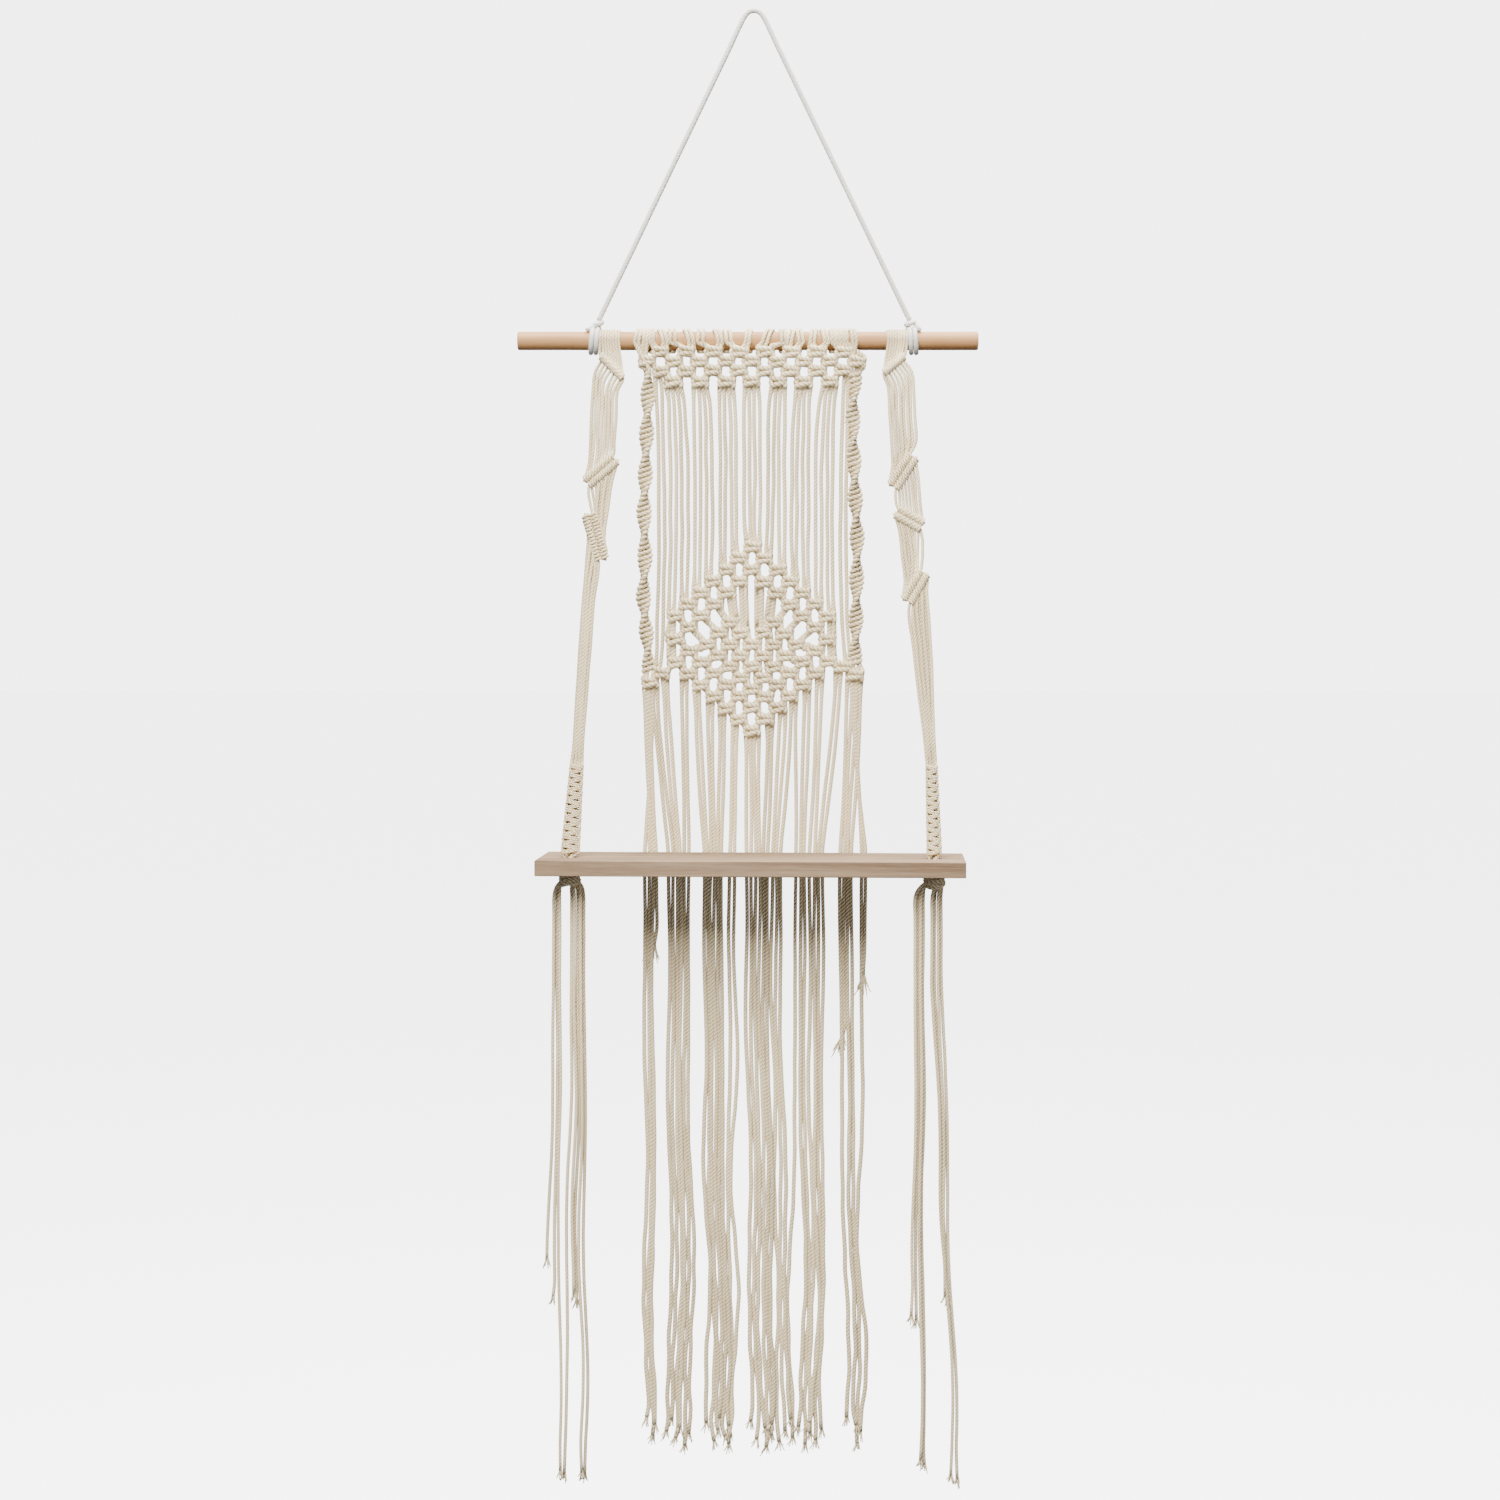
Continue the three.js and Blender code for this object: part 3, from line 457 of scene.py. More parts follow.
# Free strands between knots: the step between their points, their sway, how far they spread towards their
# home in the net, and how far off it they hang
FREE_STEP = 26.0
FREE_SWAY = 0.6
FREE_SPREAD = 0.75
HOME_MISS = 0.8
# Clusters that the fringe gathers into behind the plank: first place, last place and number of strands
CLUSTERS = [(-106.6, -95.8, 4), (-83.1, -64.5, 6), (-49.4, -31.8, 6), (-23.6, -19.4, 2), (-6.8, 26.4, 9),
            (41.1, 67.5, 7), (84.1, 95.8, 4), (105.5, 109.6, 2)]
# Wider clusters that it falls into near its end, in the same columns, and the heights between which it does
LOW_CLUSTERS = [(-105, -95.6, 4), (-81.5, -61, 6), (-45.5, -19.5, 8), (-2, 36.5, 10), (49.5, 67, 6),
                (90, 108, 6)]
LOW_FROM = -980
LOW_OVER = 260
FRINGE_STEP = 20
FRINGE_END = -1376
FRINGE_UNEVEN = 30
SHORT_STRANDS = {3: -913, 35: -1001, 39: -942}
# Sways of the fringe: of a whole cluster, of each strand, of the few strands that stray, the fine curl, and
# the depth of its layers
CLUSTER_SWAY = 2.6
STRAND_SWAY = 0.45
STRAY_SWAY = 3.4
CURL = 0.7
LAYER_DEPTH = 1.7
# Loose yarns at a cut end: their number and length, those of a strand that was cut short, and their radius
# at the root and at the tip
FRAYED = (7, 11.0)
FRAYED_SHORT = (14, 22.0)
YARN_RADII = (1.0, 0.45)
YARN_SIDES = 5
YARN_POINTS = 6
YARN_SHADE = 0.9

dice = np.random.default_rng(11)


def panel_y(z):
    """Depth of the panel: it leans back from the front of the dowel to behind the plank, then hangs
    plumb."""
    share = np.clip((PANEL_TOP - z) / (PANEL_TOP - SHELF_TOP), 0, 1)
    return PANEL_TOP_Y + (FRINGE_Y - PANEL_TOP_Y) * share


def home_x(number):
    """Place of a free strand in the net."""
    return PANEL_X + (number - (STRANDS - 1) / 2) * HOME_PITCH


def knot_courses(half, bar=2.6, reach=5.2, core=2.1, front=4.6, slant=1.0):
    """Courses of the four strands of one square knot, as across, up and forward from its middle. The left
    strand crosses in front to the right, turns back and crosses in front again. The right one does the same
    behind. The two middle ones run straight down between them. half is the knot's half width, bar the
    height of its crossings, reach that of its ends, core half the space between its middle strands, front
    how far the crossings stand out, and slant how much they slope."""
    e = half - 1.5
    left = [[-e, reach, 0.2], [-e, 0.8 * reach, 0.9], [-0.6 * half, bar + slant, 2.4], [0, bar, front],
            [0.6 * half, bar - slant, 2.4], [half - 1.6, 0.6, 0.5], [half - 1.3, -0.1, 0.0],
            [half - 1.6, -0.7, 0.5], [0.6 * half, slant - bar, 2.4], [0, -bar, front],
            [-0.6 * half, -bar - slant, 2.4], [-e, -0.8 * reach, 0.9], [-e, -reach, 0.2]]
    right = [[e, reach, 0.4], [e + 0.2, 0.72 * reach, 1.5], [half - 0.9, bar, 0.4],
             [0.62 * half, bar, -2.2], [0, bar, -front], [-0.66 * half, bar - 0.3, -2.1],
             [1.2 - half, 0.5, 0.1], [1.0 - half, 0, 0.8], [1.2 - half, -0.5, 0.1],
             [-0.66 * half, 0.3 - bar, -2.1], [0, -bar, -front], [0.62 * half, -bar, -2.2],
             [half - 0.9, -bar, 0.4], [e + 0.2, -0.72 * reach, 1.5], [e, -reach, 0.4]]
    middle = [[[x, 2.2, 0], [x, 0, 0], [x, -2.2, 0]] for x in (-core, core)]
    return [np.array(left), np.array(middle[0]), np.array(middle[1]), np.array(right)]


COURSES = knot_courses(KNOT_HALF)


def placed(course, x, z, tilt, size):
    """A knot's course set at its place on the panel, tilted and sized by hand's chance, with the strand's
    radius as the fourth column."""
    across = size * (course[:, 0] * np.cos(tilt) - course[:, 1] * np.sin(tilt))
    up = size * (course[:, 0] * np.sin(tilt) + course[:, 1] * np.cos(tilt))
    radius = np.full(len(course), KNOT_RADIUS * size)
    return np.stack([x + across, panel_y(z) - course[:, 2], z + up, radius], axis=1)


ties = [[] for _ in range(STRANDS)]


def tie(first, x, z):
    """Notes one square knot in the courses of its four strands, a little off its place as a hand ties
    it."""
    x = x + dice.uniform(-HAND_ACROSS, HAND_ACROSS)
    z = z + dice.uniform(-HAND_UP, HAND_UP)
    tilt = dice.uniform(-HAND_TILT, HAND_TILT)
    size = dice.uniform(*HAND_SIZE)
    for role in range(4):
        ties[first + role].append((z, x, role, tilt, size))


for row_z, first, count in BAND_ROWS:
    for number in range(count):
        strand = first + 4 * number
        tie(strand, PANEL_X + (strand + 2 - STRANDS / 2) * PITCH, row_z)
# The diamond is two knots wide: an outer and an inner line on each of its four sides
inner_columns = range(1 - DIAMOND_CORNER, DIAMOND_CORNER)
diamond = {(column, abs(column)) for column in range(-DIAMOND_CORNER, DIAMOND_CORNER + 1)}
diamond |= {(column, abs(column) + 2) for column in inner_columns}
diamond |= {(column, DIAMOND_ROWS - abs(column)) for column in inner_columns}
diamond |= {(column, DIAMOND_ROWS - 2 - abs(column)) for column in inner_columns}
diamond |= {(column, row) for column in (-DIAMOND_CORNER, DIAMOND_CORNER) for row in CORNER_ROWS}
for column, row in sorted(diamond):
    tie(MIDDLE_STRAND + 2 * column, PANEL_X + column * COLUMN, DIAMOND_TOP - row * ROW)
for row, columns in HEART.items():
    for column in columns:
        tie(MIDDLE_STRAND + 2 * column, PANEL_X + column * HEART_COLUMN, HEART_TOP - row * HEART_ROW)
for x, z, first in LINKS:
    tie(first, x, z)


def sinnet_points(edge, role):
    """Course of one strand of a spiral sinnet. The two middle strands run straight. The two outer ones wind
    round them half a turn apart, in a flat loop of the sinnet's width and depth that itself turns slowly on
    the way down: half a turn from each height in the table to the next."""
    table, last = SINNETS[edge], SINNET_ENDS[edge]
    if role in (1, 2):
        z = np.arange(SINNET_START, last, -SINNET_CORE_STEP)
        x, forward = np.full(len(z), SINNET_CORE * (2 * role - 3)), np.zeros(len(z))
        radius = SINNET_CORE_RADIUS
    else:
        z = np.arange(SINNET_START, last, -HALF_KNOT / 4)
        turn = np.pi * (SINNET_START - z) / HALF_KNOT + (np.pi if role == 3 else 0)
        x, forward = SINNET_WIDE * np.cos(turn), SINNET_DEEP * np.sin(turn)
        radius = SINNET_RADIUS
    slow = np.interp(-z, -table[:, 0], np.pi * np.arange(len(table)))
    middle = np.interp(-z, -table[:, 0], table[:, 1])
    across = x * np.cos(slow) - forward * np.sin(slow)
    front = x * np.sin(slow) + forward * np.cos(slow)
    return np.stack([middle + across, panel_y(z) - front, z, np.full(len(z), radius)], axis=1)


def free_run(start, end, home):
    """Points of a strand that hangs free between two places: it spreads most of the way to its home place,
    with a slight sway."""
    drop = start[2] - end[2]
    count = int(drop / FREE_STEP)
    if count < 2:
        return np.zeros((0, 4))
    share = (np.arange(count) + 0.5) / count
    z = start[2] - drop * share
    spread = FREE_SPREAD * np.sin(np.pi * share) ** 0.5
    straight = start[0] + (end[0] - start[0]) * share
    x = straight * (1 - spread) + (home + dice.uniform(-HOME_MISS, HOME_MISS)) * spread
    x = x + dice.uniform(-FREE_SWAY, FREE_SWAY, count)
    y = panel_y(z) + dice.uniform(-FREE_SWAY, FREE_SWAY, count)
    return np.stack([x, y, z, np.full(count, STRAND_RADIUS)], axis=1)


def turn_points(x, lean, radius):
    """Leg of a doubled cord on the dowel, from the bend under its back, up the back, over the top and down
    the front: a circle round the dowel whose front half slants, so that its foot lies to the right of its
    top."""
    down = np.clip((TURN_STEPS - np.pi / 2) / (np.pi / 2), 0, 1.4) - 0.5
    height = ROD_Z / MM + (ROD_RADIUS / MM + radius) * np.sin(TURN_STEPS)
    depth = (ROD_RADIUS / MM + radius) * np.cos(TURN_STEPS)
    return np.stack([x + lean * down, depth, height, np.full(len(down), radius)], axis=1)


def fringe_points(number, start, cluster_x, low_x, cluster):
    """Loose end of a strand: it gathers into its cluster behind the plank, moves over to its lower cluster,
    sways with it in sines of its height, and ends unevenly. One strand in seven sways more than its cluster
    does."""
    end = SHORT_STRANDS.get(number, FRINGE_END - FRINGE_UNEVEN * ((number * 0.618) % 1))
    z = np.arange(start[2] - FRINGE_STEP, end + 8, -FRINGE_STEP)
    gathered = np.clip((start[2] - z) / (start[2] - SHELF_TOP), 0, 1) ** 1.3
    loose = np.clip((SHELF_TOP - z) / 500, 0, 1)
    lower = np.clip((LOW_FROM - z) / LOW_OVER, 0, 1) ** 1.2
    wave = loose * CLUSTER_SWAY * np.sin(z / 47 + 2.1 * cluster)
    wave = wave + STRAND_SWAY * np.sin(z / 31 + number * 1.7)
    wave = wave + (number % 7 == 3) * STRAY_SWAY * loose * np.sin(z / 36 + number)
    curl = CURL * loose ** 2 * np.sin(z / 9.5 + number * 2.3)
    layer = LAYER_DEPTH * np.sin(number * 2.4) * np.clip((SHELF_TOP - 40 - z) / 60, 0, 1)
    x = start[0] + (cluster_x - start[0]) * gathered + (low_x - cluster_x) * lower
    x = x + wave + curl + np.cumsum(dice.normal(0, 0.1, len(z)))
    path = np.stack([x, panel_y(z) + layer, z, STRAND_RADIUS * (1 + 0.12 * loose)], axis=1)
    tip = path[-1] + [dice.uniform(-3, 3), dice.uniform(-1, 1), end - path[-1, 2], 0]
    return np.vstack([path, tip])


def fray(tip, before, yarns, length):
    """Yarns that have come loose at a strand's end: thin cords that spread from its axis and bend
    outwards."""
    made = []
    down = tip - before
    down = down / np.linalg.norm(down)
    share = np.linspace(0, 1, YARN_POINTS)[:, None]
    radii = np.linspace(*YARN_RADII, YARN_POINTS) * MM
    for yarn in range(yarns):
        angle = dice.uniform(0, 1) + yarn * 2 * np.pi / yarns
        out = np.array([np.cos(angle), 0.6 * np.sin(angle), 0.0])
        reach = length * dice.uniform(0.6, 1.15)
        bend = (0.12 + dice.uniform(0.04, 0.3) * share) * length * share
        wave = 0.5 * np.sin(5 * share + angle) * share
        path = tip - down * 2 + down * reach * share + out * (0.8 + bend + wave)
        made.append(cord(path * MM, radii, YARN_SIDES, shade=YARN_SHADE))
    return made


def doubled(left, right):
    """One cord folded over the dowel: the left leg upwards, the bend under the dowel's back, and the right
    leg. The fourth column of its points is its radius, and its shade is its own."""
    middle = (left[0] + right[0]) / 2
    bend = middle + [0, -middle[1] - 1.5, ROD_Z / MM - ROD_RADIUS / MM - middle[3] - middle[2], 0]
    curve = spline(np.vstack([left[::-1], bend[None], right]), LEG_STEPS)
    return cord(curve[:, :3] * MM, curve[:, 3] * MM, CORD_SIDES, shade=dice.uniform(0, 1))


def fringe_places(table):
    """Place of each strand in a table of clusters, spread evenly over its cluster, and the cluster's
    number."""
    return [
        (from_x + (to_x - from_x) * i / (count - 1), cluster)
        for cluster, (from_x, to_x, count) in enumerate(table) for i in range(count)]


# The second colour, dark brown, is painted shade for the grooves between the plies.
cotton = twisted_cotton("cotton", linear(255, 238, 196), linear(116, 90, 54))
homes = fringe_places(CLUSTERS)
low_homes = fringe_places(LOW_CLUSTERS)
strand_courses = []
strand_tips = []
for number in range(STRANDS):
    edge = next((first for first in SINNETS if first <= number < first + 4), None)
    middle, spread, lean = TURNS[number // 2]
    parts = [turn_points(middle + spread * (2 * (number % 2) - 1), lean, PANEL_TURN_RADIUS)]
    stops = sorted(ties[number], reverse=True)
    if edge is not None:
        stops.append((SINNET_START, None))
        stops.sort(key=lambda stop: -stop[0])
    for z, x, *knot in stops:
        if x is None:
            parts.append(sinnet_points(edge, number - edge))
            continue
        role, tilt, size = knot
        course = placed(COURSES[role], x, z, tilt, size)
        parts.append(free_run(parts[-1][-1], course[0], home_x(number)))
        parts.append(course)
    parts.append(fringe_points(number, parts[-1][-1], homes[number][0], *low_homes[number]))
    course = np.vstack(parts)
    strand_courses.append(course)
    strand_tips.append((course[-1, :3], course[-2, :3]))

pairs_each = STRANDS // 2 // PANEL_PARTS
for part in range(PANEL_PARTS):
    cords = []
    for pair in range(part * pairs_each, (part + 1) * pairs_each):
        cords.append(doubled(strand_courses[2 * pair], strand_courses[2 * pair + 1]))
        for number in (2 * pair, 2 * pair + 1):
            cords += fray(*strand_tips[number], *(FRAYED_SHORT if number in SHORT_STRANDS else FRAYED))
    piece = cord_piece(f"panel_cords_{part + 1}", cords, cotton, "panel")

# Straps and tassels. On each side four doubled cords of the same cotton hang from the dowel, are hitched
# into slanted bars, end in a flat sinnet of ten square knots, go through the plank's hole, and are stopped
# by a knot under it. Sizes are in millimetres.
STRAP_STRANDS = 8
STRAP_RADIUS = 1.65
STRAP_TOP_Y = -10.5
STRAP_STEP = 22
STRAP_TURN_PITCH = 2.6
STRAP_TURN_RADIUS = 1.25
# Hitched bars: the strand's radius in them, the radius of its turns round the carrier, how far the carrier
# stands forward, and the drop from row to row
BAR_RADIUS = 1.45
BAR_WRAP = 2.8
BAR_FORWARD = 0.8
BAR_ROW = 7.2
PLANK_CENTRE = (-2, -48)
HOLE_PLACE = (174, -12)
PLANK_THICKNESS = 15
# Flat sinnet: its ends, its number of knots, the radius of its tying and of its core strands, and the space
# between those
FLAT_TOP = -733
FLAT_FOOT = -817
FLAT_KNOTS = 10
FLAT_TIED_RADIUS = 1.15
FLAT_CORE_RADIUS = 1.3
FLAT_CORE_PITCH = 1.9
# Strands in the hole: their radius and that of their ring
HOLE_STRAND_RADIUS = 1.4
HOLE_RING = 3.9
# Stopper knot: its strands' radius, its sag, and the heights of its foot, of the neck under it and of the
# tassel's first free point
STOPPER_RADIUS = 1.7
STOPPER_POINTS = 15
STOPPER_SAG = 9.5
STOPPER_FOOT = -849.5
TASSEL_NECK = -858
TASSEL_TOP = -876
TASSEL_STRAIGHT = 940
TASSEL_LAYER = 2.4
STRAP_FRAYED = (7, 10.0)
# For each side: the middle of its turns on the dowel, the flat sinnet's half width above and below, and four
# tables. Stations are height, middle and half width of the strap. Bars are the place and height where they
# start and end, and their rows. Tassel strands are their place at the stopper, below it and at their end,
# and the height of their end.
STRAPS = {
    "left": {
        "side": -1, "turn_x": -140.9, "flat": (7.2, 9.4),
        "stations": [(-336, -141.8, 8.4), (-355, -144, 13), (-449, -148.4, 13), (-513, -152.6, 9),
                     (-575, -159.9, 6.4), (-736, -170.5, 5.6)],
        "bars": [(-149, -337, -127.6, -358.5, 1), (-134.6, -437, -162, -461, 2),
                 (-160, -491, -147, -536, 2)],
        "tassel": [(-10.5, -15, -20, -1205), (-9.5, -12.2, -13, -1242), (-8.5, -9.4, -9.8, -1407),
                   (1.5, 1.6, -5.4, -1412), (4, 4.6, 4.6, -1239), (6.5, 7.6, 7.8, -1246),
                   (8.5, 10.4, 10.8, -1409), (10, 13.2, 14, -1413)],
    },
    "right": {
        "side": 1, "turn_x": 139.8, "flat": (6.2, 7.6),
        "stations": [(-336, 139.8, 8.4), (-355, 142, 13.4), (-450, 146.4, 12.8), (-562, 156, 11.2),
                     (-650, 163.3, 8.6), (-693, 166.3, 6), (-736, 169.3, 5)],
        "bars": [(146, -337, 126.4, -353.5, 1), (154, -435, 134.5, -465, 2), (137.5, -489, 162, -503, 2),
                 (163.6, -548, 147, -576, 2)],
        "tassel": [(-11.5, -18.6, -19.4, -1255), (-10.5, -15.8, -16.2, -1260), (-9.5, -13, -13, -1392),
                   (-8.5, -10.2, -9.8, -1397), (2, -2.4, 12.4, -1236), (4, 0.6, 15.4, -1242),
                   (6, 3.6, 18.4, -1406), (8, 6.6, 21.4, -1411)],
    },
}


def hole_place(side):
    """Middle of the hole on one side: its place on the plank, turned as the plank is."""
    along, across = side * HOLE_PLACE[0], HOLE_PLACE[1]
    x = PLANK_CENTRE[0] + along * np.cos(SHELF_YAW) - across * np.sin(SHELF_YAW)
    y = PLANK_CENTRE[1] + along * np.sin(SHELF_YAW) + across * np.cos(SHELF_YAW)
    return x, y


def strap_points(hole_y, x, z, forward, radius):
    """Points of a strand at the given distance in front of its strap, whose depth goes evenly from the
    dowel's front to the hole in the plank."""
    x, z, forward = np.broadcast_arrays(np.asarray(x, float), z, forward)
    depth = STRAP_TOP_Y + (hole_y - STRAP_TOP_Y) * (PANEL_TOP - z) / (PANEL_TOP - SHELF_TOP)
    return np.stack([x, depth - forward, z, np.full(len(x), radius)], axis=1)


def strap_run(plan, hole_y, place, top, low):
    """Free stretch of a strand between two heights of its strap, where the strands lie side by side in two
    layers: its place is the strap's middle plus its share of the half width."""
    count = int((top - low) / STRAP_STEP)
    if count < 2:
        return np.zeros((0, 4))
    stations = np.array(plan["stations"], float)
    z = top - (top - low) * (np.arange(count) + 0.5) / count
    middle = np.interp(-z, -stations[:, 0], stations[:, 1])
    half = np.interp(-z, -stations[:, 0], stations[:, 2])
    layer = np.where(place % 2, 1.0, -1.0) * np.clip(18 / half, 0.6, 1.7)
    x = middle + (place - 3.5) / 3.5 * (half - 1.3) + dice.uniform(-0.4, 0.4, count)
    return strap_points(hole_y, x, z, layer + dice.uniform(-0.3, 0.3, count), STRAP_RADIUS)


def add_bar(lines, order, plan, hole_y, bar):
    """One slanted bar of hitches. The strand at the bar's start carries each row: it runs straight along
    the row, and each of the others winds one and a half turns round it. It ends up at the far edge, which
    gives the order of the strands under the bar."""
    x0, z0, x1, z1, rows = bar
    start, end = np.array([x0, z0], float), np.array([x1, z1], float)
    length = np.linalg.norm(end - start)
    way = (end - start) / length
    rightwards = way[0] > 0
    down = np.array([way[1], -way[0]]) * (1 if rightwards else -1)
    progress = np.linspace(0, 1, 13)
    angle = np.pi / 2 - 3 * np.pi * progress
    for row in range(rows):
        shift = (row - (rows - 1) / 2) * BAR_ROW
        carrier, wrapped = (order[0], order[1:]) if rightwards else (order[-1], order[-2::-1])
        for rank, strand in enumerate(wrapped):
            along = (rank + 0.5) / 7 * length + (progress - 0.5) * length / 14 * 1.5
            place = start + way * along[:, None] + down * shift
            place = place - down * (BAR_WRAP * np.sin(angle))[:, None]
            if row == 0:
                last_z = lines[strand][-1][-1, 2]
                lines[strand].append(strap_run(plan, hole_y, order.index(strand), last_z, place[0, 1]))
            forward = BAR_FORWARD + BAR_WRAP * np.cos(angle)
            lines[strand].append(strap_points(hole_y, place[:, 0], place[:, 1], forward, BAR_RADIUS))
        place = start + way * (length * np.linspace(-0.02, 1.02, 6))[:, None] + down * shift
        if row == 0:
            last_z = lines[carrier][-1][-1, 2]
            lines[carrier].append(strap_run(plan, hole_y, order.index(carrier), last_z, place[0, 1]))
        lines[carrier].append(strap_points(hole_y, place[:, 0], place[:, 1], BAR_FORWARD, BAR_RADIUS))
        order = order[1:] + order[:1] if rightwards else order[-1:] + order[:-1]
    return order


def flat_sinnet_points(plan, hole_x, hole_y, place):
    """Course of one strand in the flat sinnet. Two strands at each edge tie the square knots together, one
    a little under the other, and the four between them run straight down."""
    top_z, top_x = plan["stations"][-1][:2]
    pitch = (FLAT_TOP - FLAT_FOOT) / FLAT_KNOTS
    role = {0: 0, 1: 0, 6: 3, 7: 3}.get(place, 1)
    points = []
    for knot in range(FLAT_KNOTS):
        z = FLAT_TOP - (knot + 0.5) * pitch
        half = np.interp(knot, [0, FLAT_KNOTS - 1], plan["flat"])
        inner = place in (1, 6)
        course = knot_courses(half - 0.4 * inner, pitch / 4, pitch / 2, 1.0, 4.2, 1.1)[role]
        if role == 1:
            course[:, 0] = (place - 3.5) * FLAT_CORE_PITCH
            course[:, 2] = 0.9 * (place % 2) - 1.6
        else:
            course[:, 1] = course[:, 1] * 0.92 + (-0.85 if inner else 0.85)
        share = (z + course[:, 1] - top_z) / (SHELF_TOP - top_z)
        x = top_x + (hole_x - top_x) * share + course[:, 0]
        radius = FLAT_CORE_RADIUS if role == 1 else FLAT_TIED_RADIUS
        points.append(strap_points(hole_y, x, z + course[:, 1], course[:, 2], radius))
    return points


def tassel_points(plan, hole_x, hole_y, place):
    """Course of one strand from the plank's hole down. In the hole seven strands form a ring round the
    eighth. In the stopper knot each winds out and down round the hole's axis, on a radius that swells in
    the middle, and leaves it on its own side. Below it hangs with a slow sway."""
    top, low, end, end_z = plan["tassel"][place]
    under = SHELF_TOP - PLANK_THICKNESS
    angle = 2 * np.pi * place / 7
    ring = 0 if place == 7 else HOLE_RING
    layer = TASSEL_LAYER if place % 2 else -TASSEL_LAYER
    hole_x_here = hole_x + ring * -np.cos(angle)
    hole_y_here = hole_y + ring * np.sin(angle)
    in_hole = np.array([
        [hole_x_here, hole_y_here, z, HOLE_STRAND_RADIUS] for z in (SHELF_TOP - 3, under + 2)])
    steps = np.linspace(0, 1, STOPPER_POINTS)
    turn = angle + (np.pi * (3 if top > 0 else 2) + 0.3 * layer / TASSEL_LAYER - angle) * steps
    swell = 3.4 + (3.4 + 0.7 * (place % 3)) * np.sin(np.pi * steps) ** 0.5 + 3.2 * steps ** 2
    sag = STOPPER_SAG * (0.02 + 0.3 * (place % 4)) * np.sin(np.pi * steps)
    stopper = np.stack([
        hole_x - swell * 1.1 * np.cos(turn), hole_y + swell * np.sin(turn),
        under - 2.0 - sag - 4.6 * steps ** 1.5, np.full(STOPPER_POINTS, STOPPER_RADIUS)], axis=1)
    neck = np.array([
        [hole_x + (top + low) / 2, hole_y + layer, STOPPER_FOOT, STRAP_RADIUS],
        [hole_x + low, hole_y + layer, TASSEL_NECK, STRAP_RADIUS]])
    z = np.arange(TASSEL_TOP, end_z + 12, -STRAP_STEP)
    spread = np.interp(-z, [TASSEL_STRAIGHT, -end_z], [low, end])
    x = hole_x + spread + np.cumsum(dice.normal(0, 0.12, len(z)))
    x = x + (1.8 * np.sin(z / 44) + 0.6 * np.sin(z / 31 + place)) * np.clip((-900 - z) / 200, 0, 1)
    y = hole_y + layer + 0.6 * np.sin(z / 50 + place)
    hanging = np.stack([x, y, z, np.full(len(z), STRAP_RADIUS)], axis=1)
    tip = np.array([[x[-1] + dice.uniform(-2, 2), hole_y + layer, end_z, STRAP_RADIUS]])
    return [in_hole, stopper, neck, hanging, tip]


def strap_courses(plan):
    """Points of the eight strands of one strap, followed from the dowel down to their ends."""
    hole_x, hole_y = hole_place(plan["side"])
    order = list(range(STRAP_STRANDS))
    lines = [
        [turn_points(plan["turn_x"] + STRAP_TURN_PITCH * (strand - 3.5), 0, STRAP_TURN_RADIUS)]
        for strand in order]
    for bar in plan["bars"]:
        order = add_bar(lines, order, plan, hole_y, bar)
    for place, strand in enumerate(order):
        last_z = lines[strand][-1][-1, 2]
        lines[strand].append(strap_run(plan, hole_y, place, last_z, FLAT_TOP + 8))
        lines[strand] += flat_sinnet_points(plan, hole_x, hole_y, place)
    for place, strand in enumerate(order):
        lines[strand] += tassel_points(plan, hole_x, hole_y, place)
    return [np.vstack(line) for line in lines]


for side, plan in STRAPS.items():
    courses = strap_courses(plan)
    cords = [doubled(left, right) for left, right in zip(courses[::2], courses[1::2])]
    for course in courses:
        cords += fray(course[-1, :3], course[-2, :3], *STRAP_FRAYED)
    piece = cord_piece(f"strap_cords_{side}", cords, cotton, f"strap_{side}", f"tassel_{side}")

# Hanger hitches. The braided cord makes two turns round the dowel at each end and is tied off on top, where
# its end makes a small ring round its foot. Sizes are in millimetres.
HITCH_TURNS = 2
HITCH_TURN_RADIUS = 11.6
HITCH_CORD_RADIUS = 2.35
HITCH_SIDES = 12
HITCH_STEP = 0.9
HITCH_RING = 3.9
# For each side: place and height of the hanger cord's foot, place of the first and of the last turn, and
# the way outwards
HITCHES = {"left": (-151.5, -299.9, -151.8, -162.3, -1), "right": (151.7, -299.4, 150.9, 161.4, 1)}
for side, (foot_x, foot_z, first_x, last_x, way) in HITCHES.items():
    angle = np.linspace(np.pi / 2 - 0.5, np.pi / 2 + 2 * np.pi * HITCH_TURNS + 0.4, 40)
    share = (angle - angle[0]) / (angle[-1] - angle[0])
    wrap = np.stack([
        first_x + (last_x - first_x) * share, HITCH_TURN_RADIUS * np.cos(angle),
        ROD_Z / MM + HITCH_TURN_RADIUS * np.sin(angle)], axis=1)
    lead = np.array([[foot_x, 0.6, foot_z + 1.5], [foot_x, 1.5, foot_z - 3], [first_x, 3.5, foot_z - 8]])
    around = np.linspace(0, 2.1 * np.pi, 12)
    ring = np.stack([
        foot_x + way * 1.0 + HITCH_RING * np.cos(around), -HITCH_RING * np.sin(around),
        foot_z - 4.2 + 1.4 * np.cos(around + 0.5)], axis=1)
    path = even(spline(np.vstack([lead, wrap, ring]), LEG_STEPS), HITCH_STEP)
    cords = [cord(path * MM, HITCH_CORD_RADIUS * MM, HITCH_SIDES, braid)]
    piece = cord_piece(f"hitch_{side}", cords, pale_cotton, f"hanger_hitch_{side}")

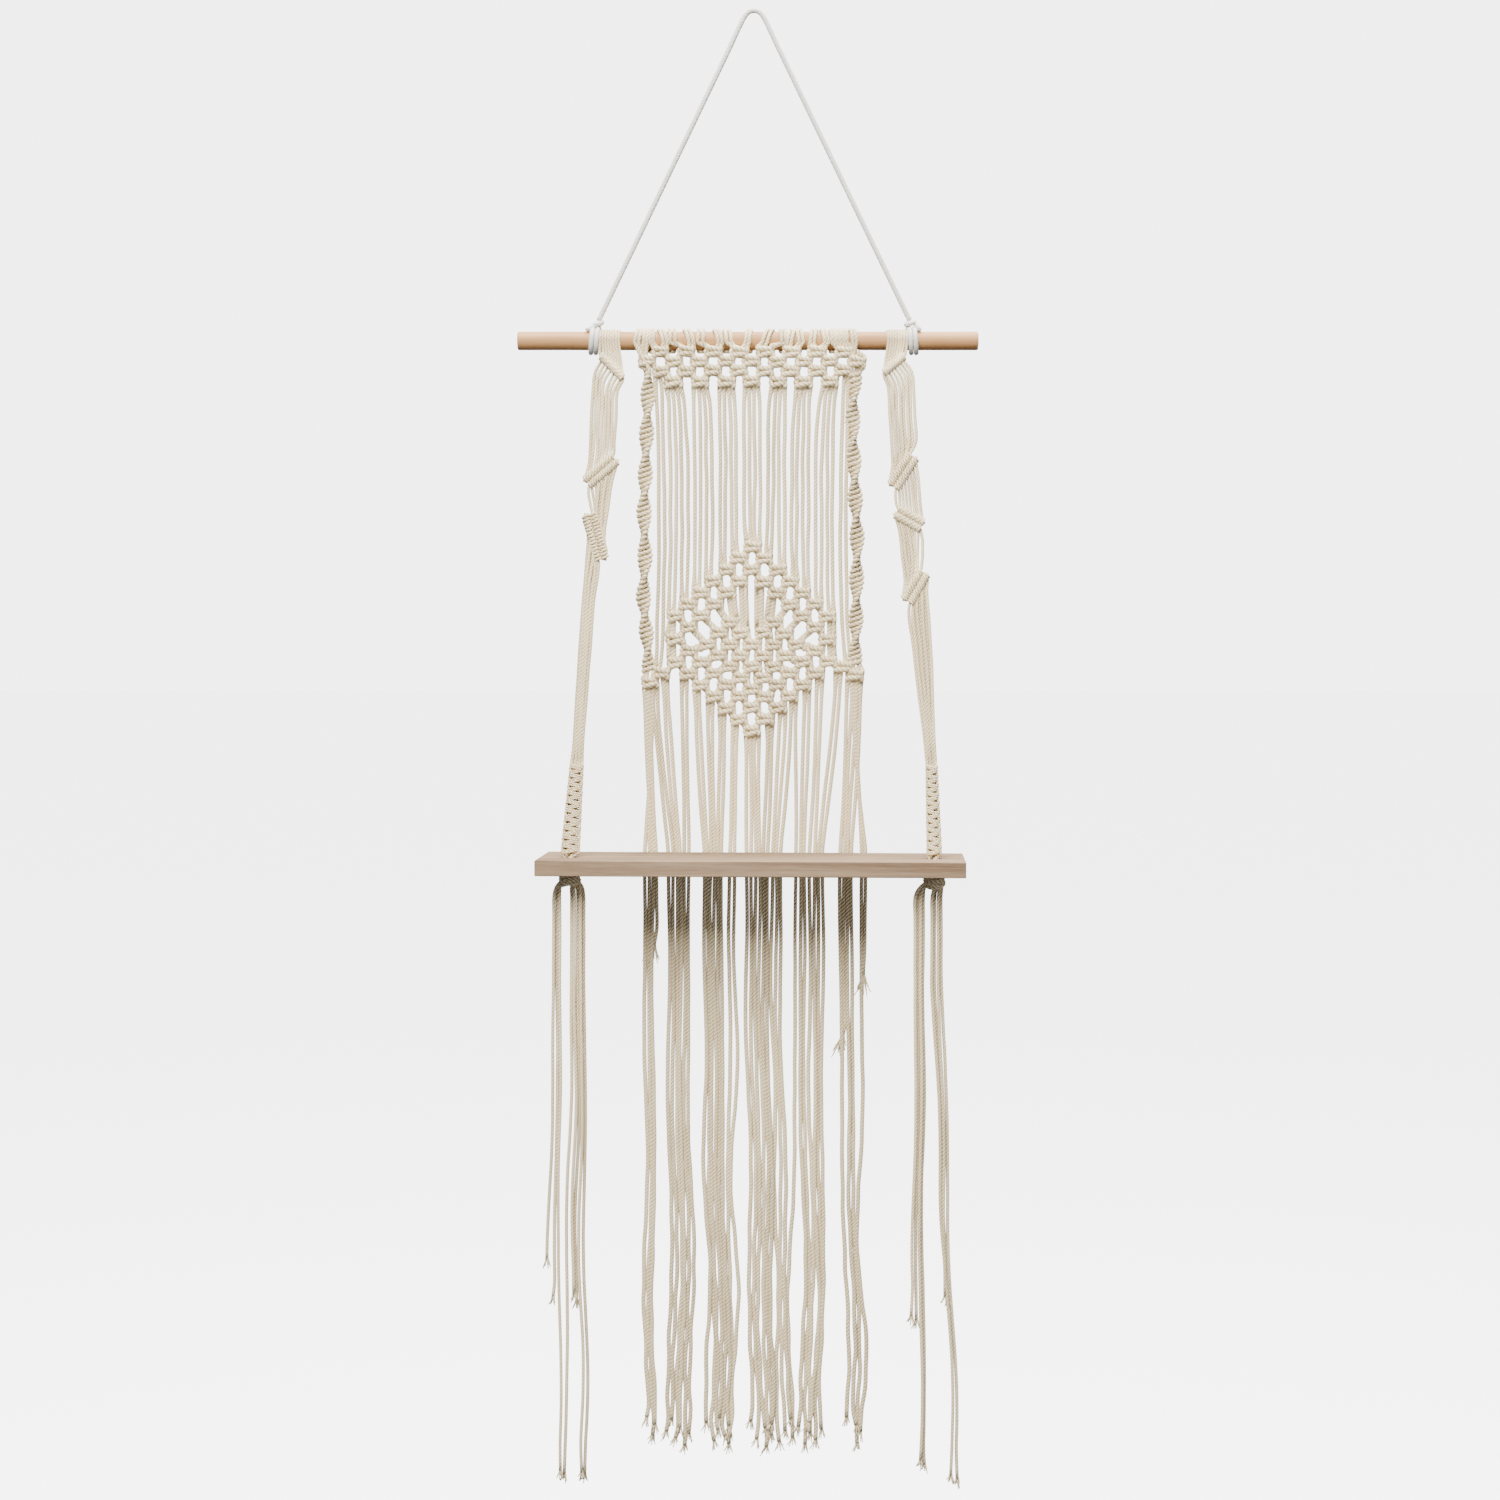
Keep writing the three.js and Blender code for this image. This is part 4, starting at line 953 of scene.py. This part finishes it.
# Floor and light. A pale floor lies far below. A large soft light high in front shades what is under the
# plank, a weak one lifts the right side, one overhead lights the tops, and the room is bright and even.
FLOOR_Z = -1.9
FLOOR_GLOW = 4.55
LIT_PLACE = (0, 0, -0.7)
ROOM_LIGHT = 0.22
ROOM_SEEN = 5.0
floor_mesh = bpy.data.meshes.new("floor")
floor_corners = [(-20, -6, FLOOR_Z), (20, -6, FLOOR_Z), (20, 60, FLOOR_Z), (-20, 60, FLOOR_Z)]
floor_mesh.from_pydata(floor_corners, [], [(0, 1, 2, 3)])
floor = bpy.data.objects.new("floor", floor_mesh)
bpy.context.collection.objects.link(floor)
floor_look, _, floor_shader = new_look("pale_floor", 0.9)
floor_shader.inputs["Base Color"].default_value = (0.85, 0.85, 0.85, 1)
floor_shader.inputs["Emission Color"].default_value = (1, 1, 1, 1)
floor_shader.inputs["Emission Strength"].default_value = FLOOR_GLOW
floor.visible_diffuse = False
floor.visible_glossy = False
floor_mesh.materials.append(floor_look)


def soft_light(name, place, size, power, colour=(1, 1, 1)):
    """Square area light that faces the middle of the hanging."""
    lamp = bpy.data.lights.new(name, "AREA")
    lamp.size = size
    lamp.energy = power
    lamp.color = colour
    holder = bpy.data.objects.new(name, lamp)
    holder.location = place
    holder.rotation_euler = (Vector(LIT_PLACE) - Vector(place)).to_track_quat("-Z", "Y").to_euler()
    bpy.context.collection.objects.link(holder)


soft_light("key", (-0.6, -2.4, 1.7), 2.2, 360, (1, 0.965, 0.91))
soft_light("side", (2.2, -2.2, -0.4), 1.2, 14)
soft_light("overhead", (0.3, 0.3, 2.3), 1.2, 330)

room = bpy.data.worlds.new("room")
room.use_nodes = True
bpy.context.scene.world = room
air = Flow(room.node_tree)
seen = air.node("ShaderNodeLightPath", output="Is Camera Ray")
lit_air = air.node("ShaderNodeBackground", inputs={"Color": (0.93, 0.95, 1, 1), "Strength": ROOM_LIGHT})
seen_air = air.node("ShaderNodeBackground", inputs={"Color": (1, 1, 1, 1), "Strength": ROOM_SEEN})
both = air.node("ShaderNodeMixShader", inputs={0: seen, 1: lit_air, 2: seen_air})
room.node_tree.links.new(both.socket, room.node_tree.nodes["World Output"].inputs["Surface"])
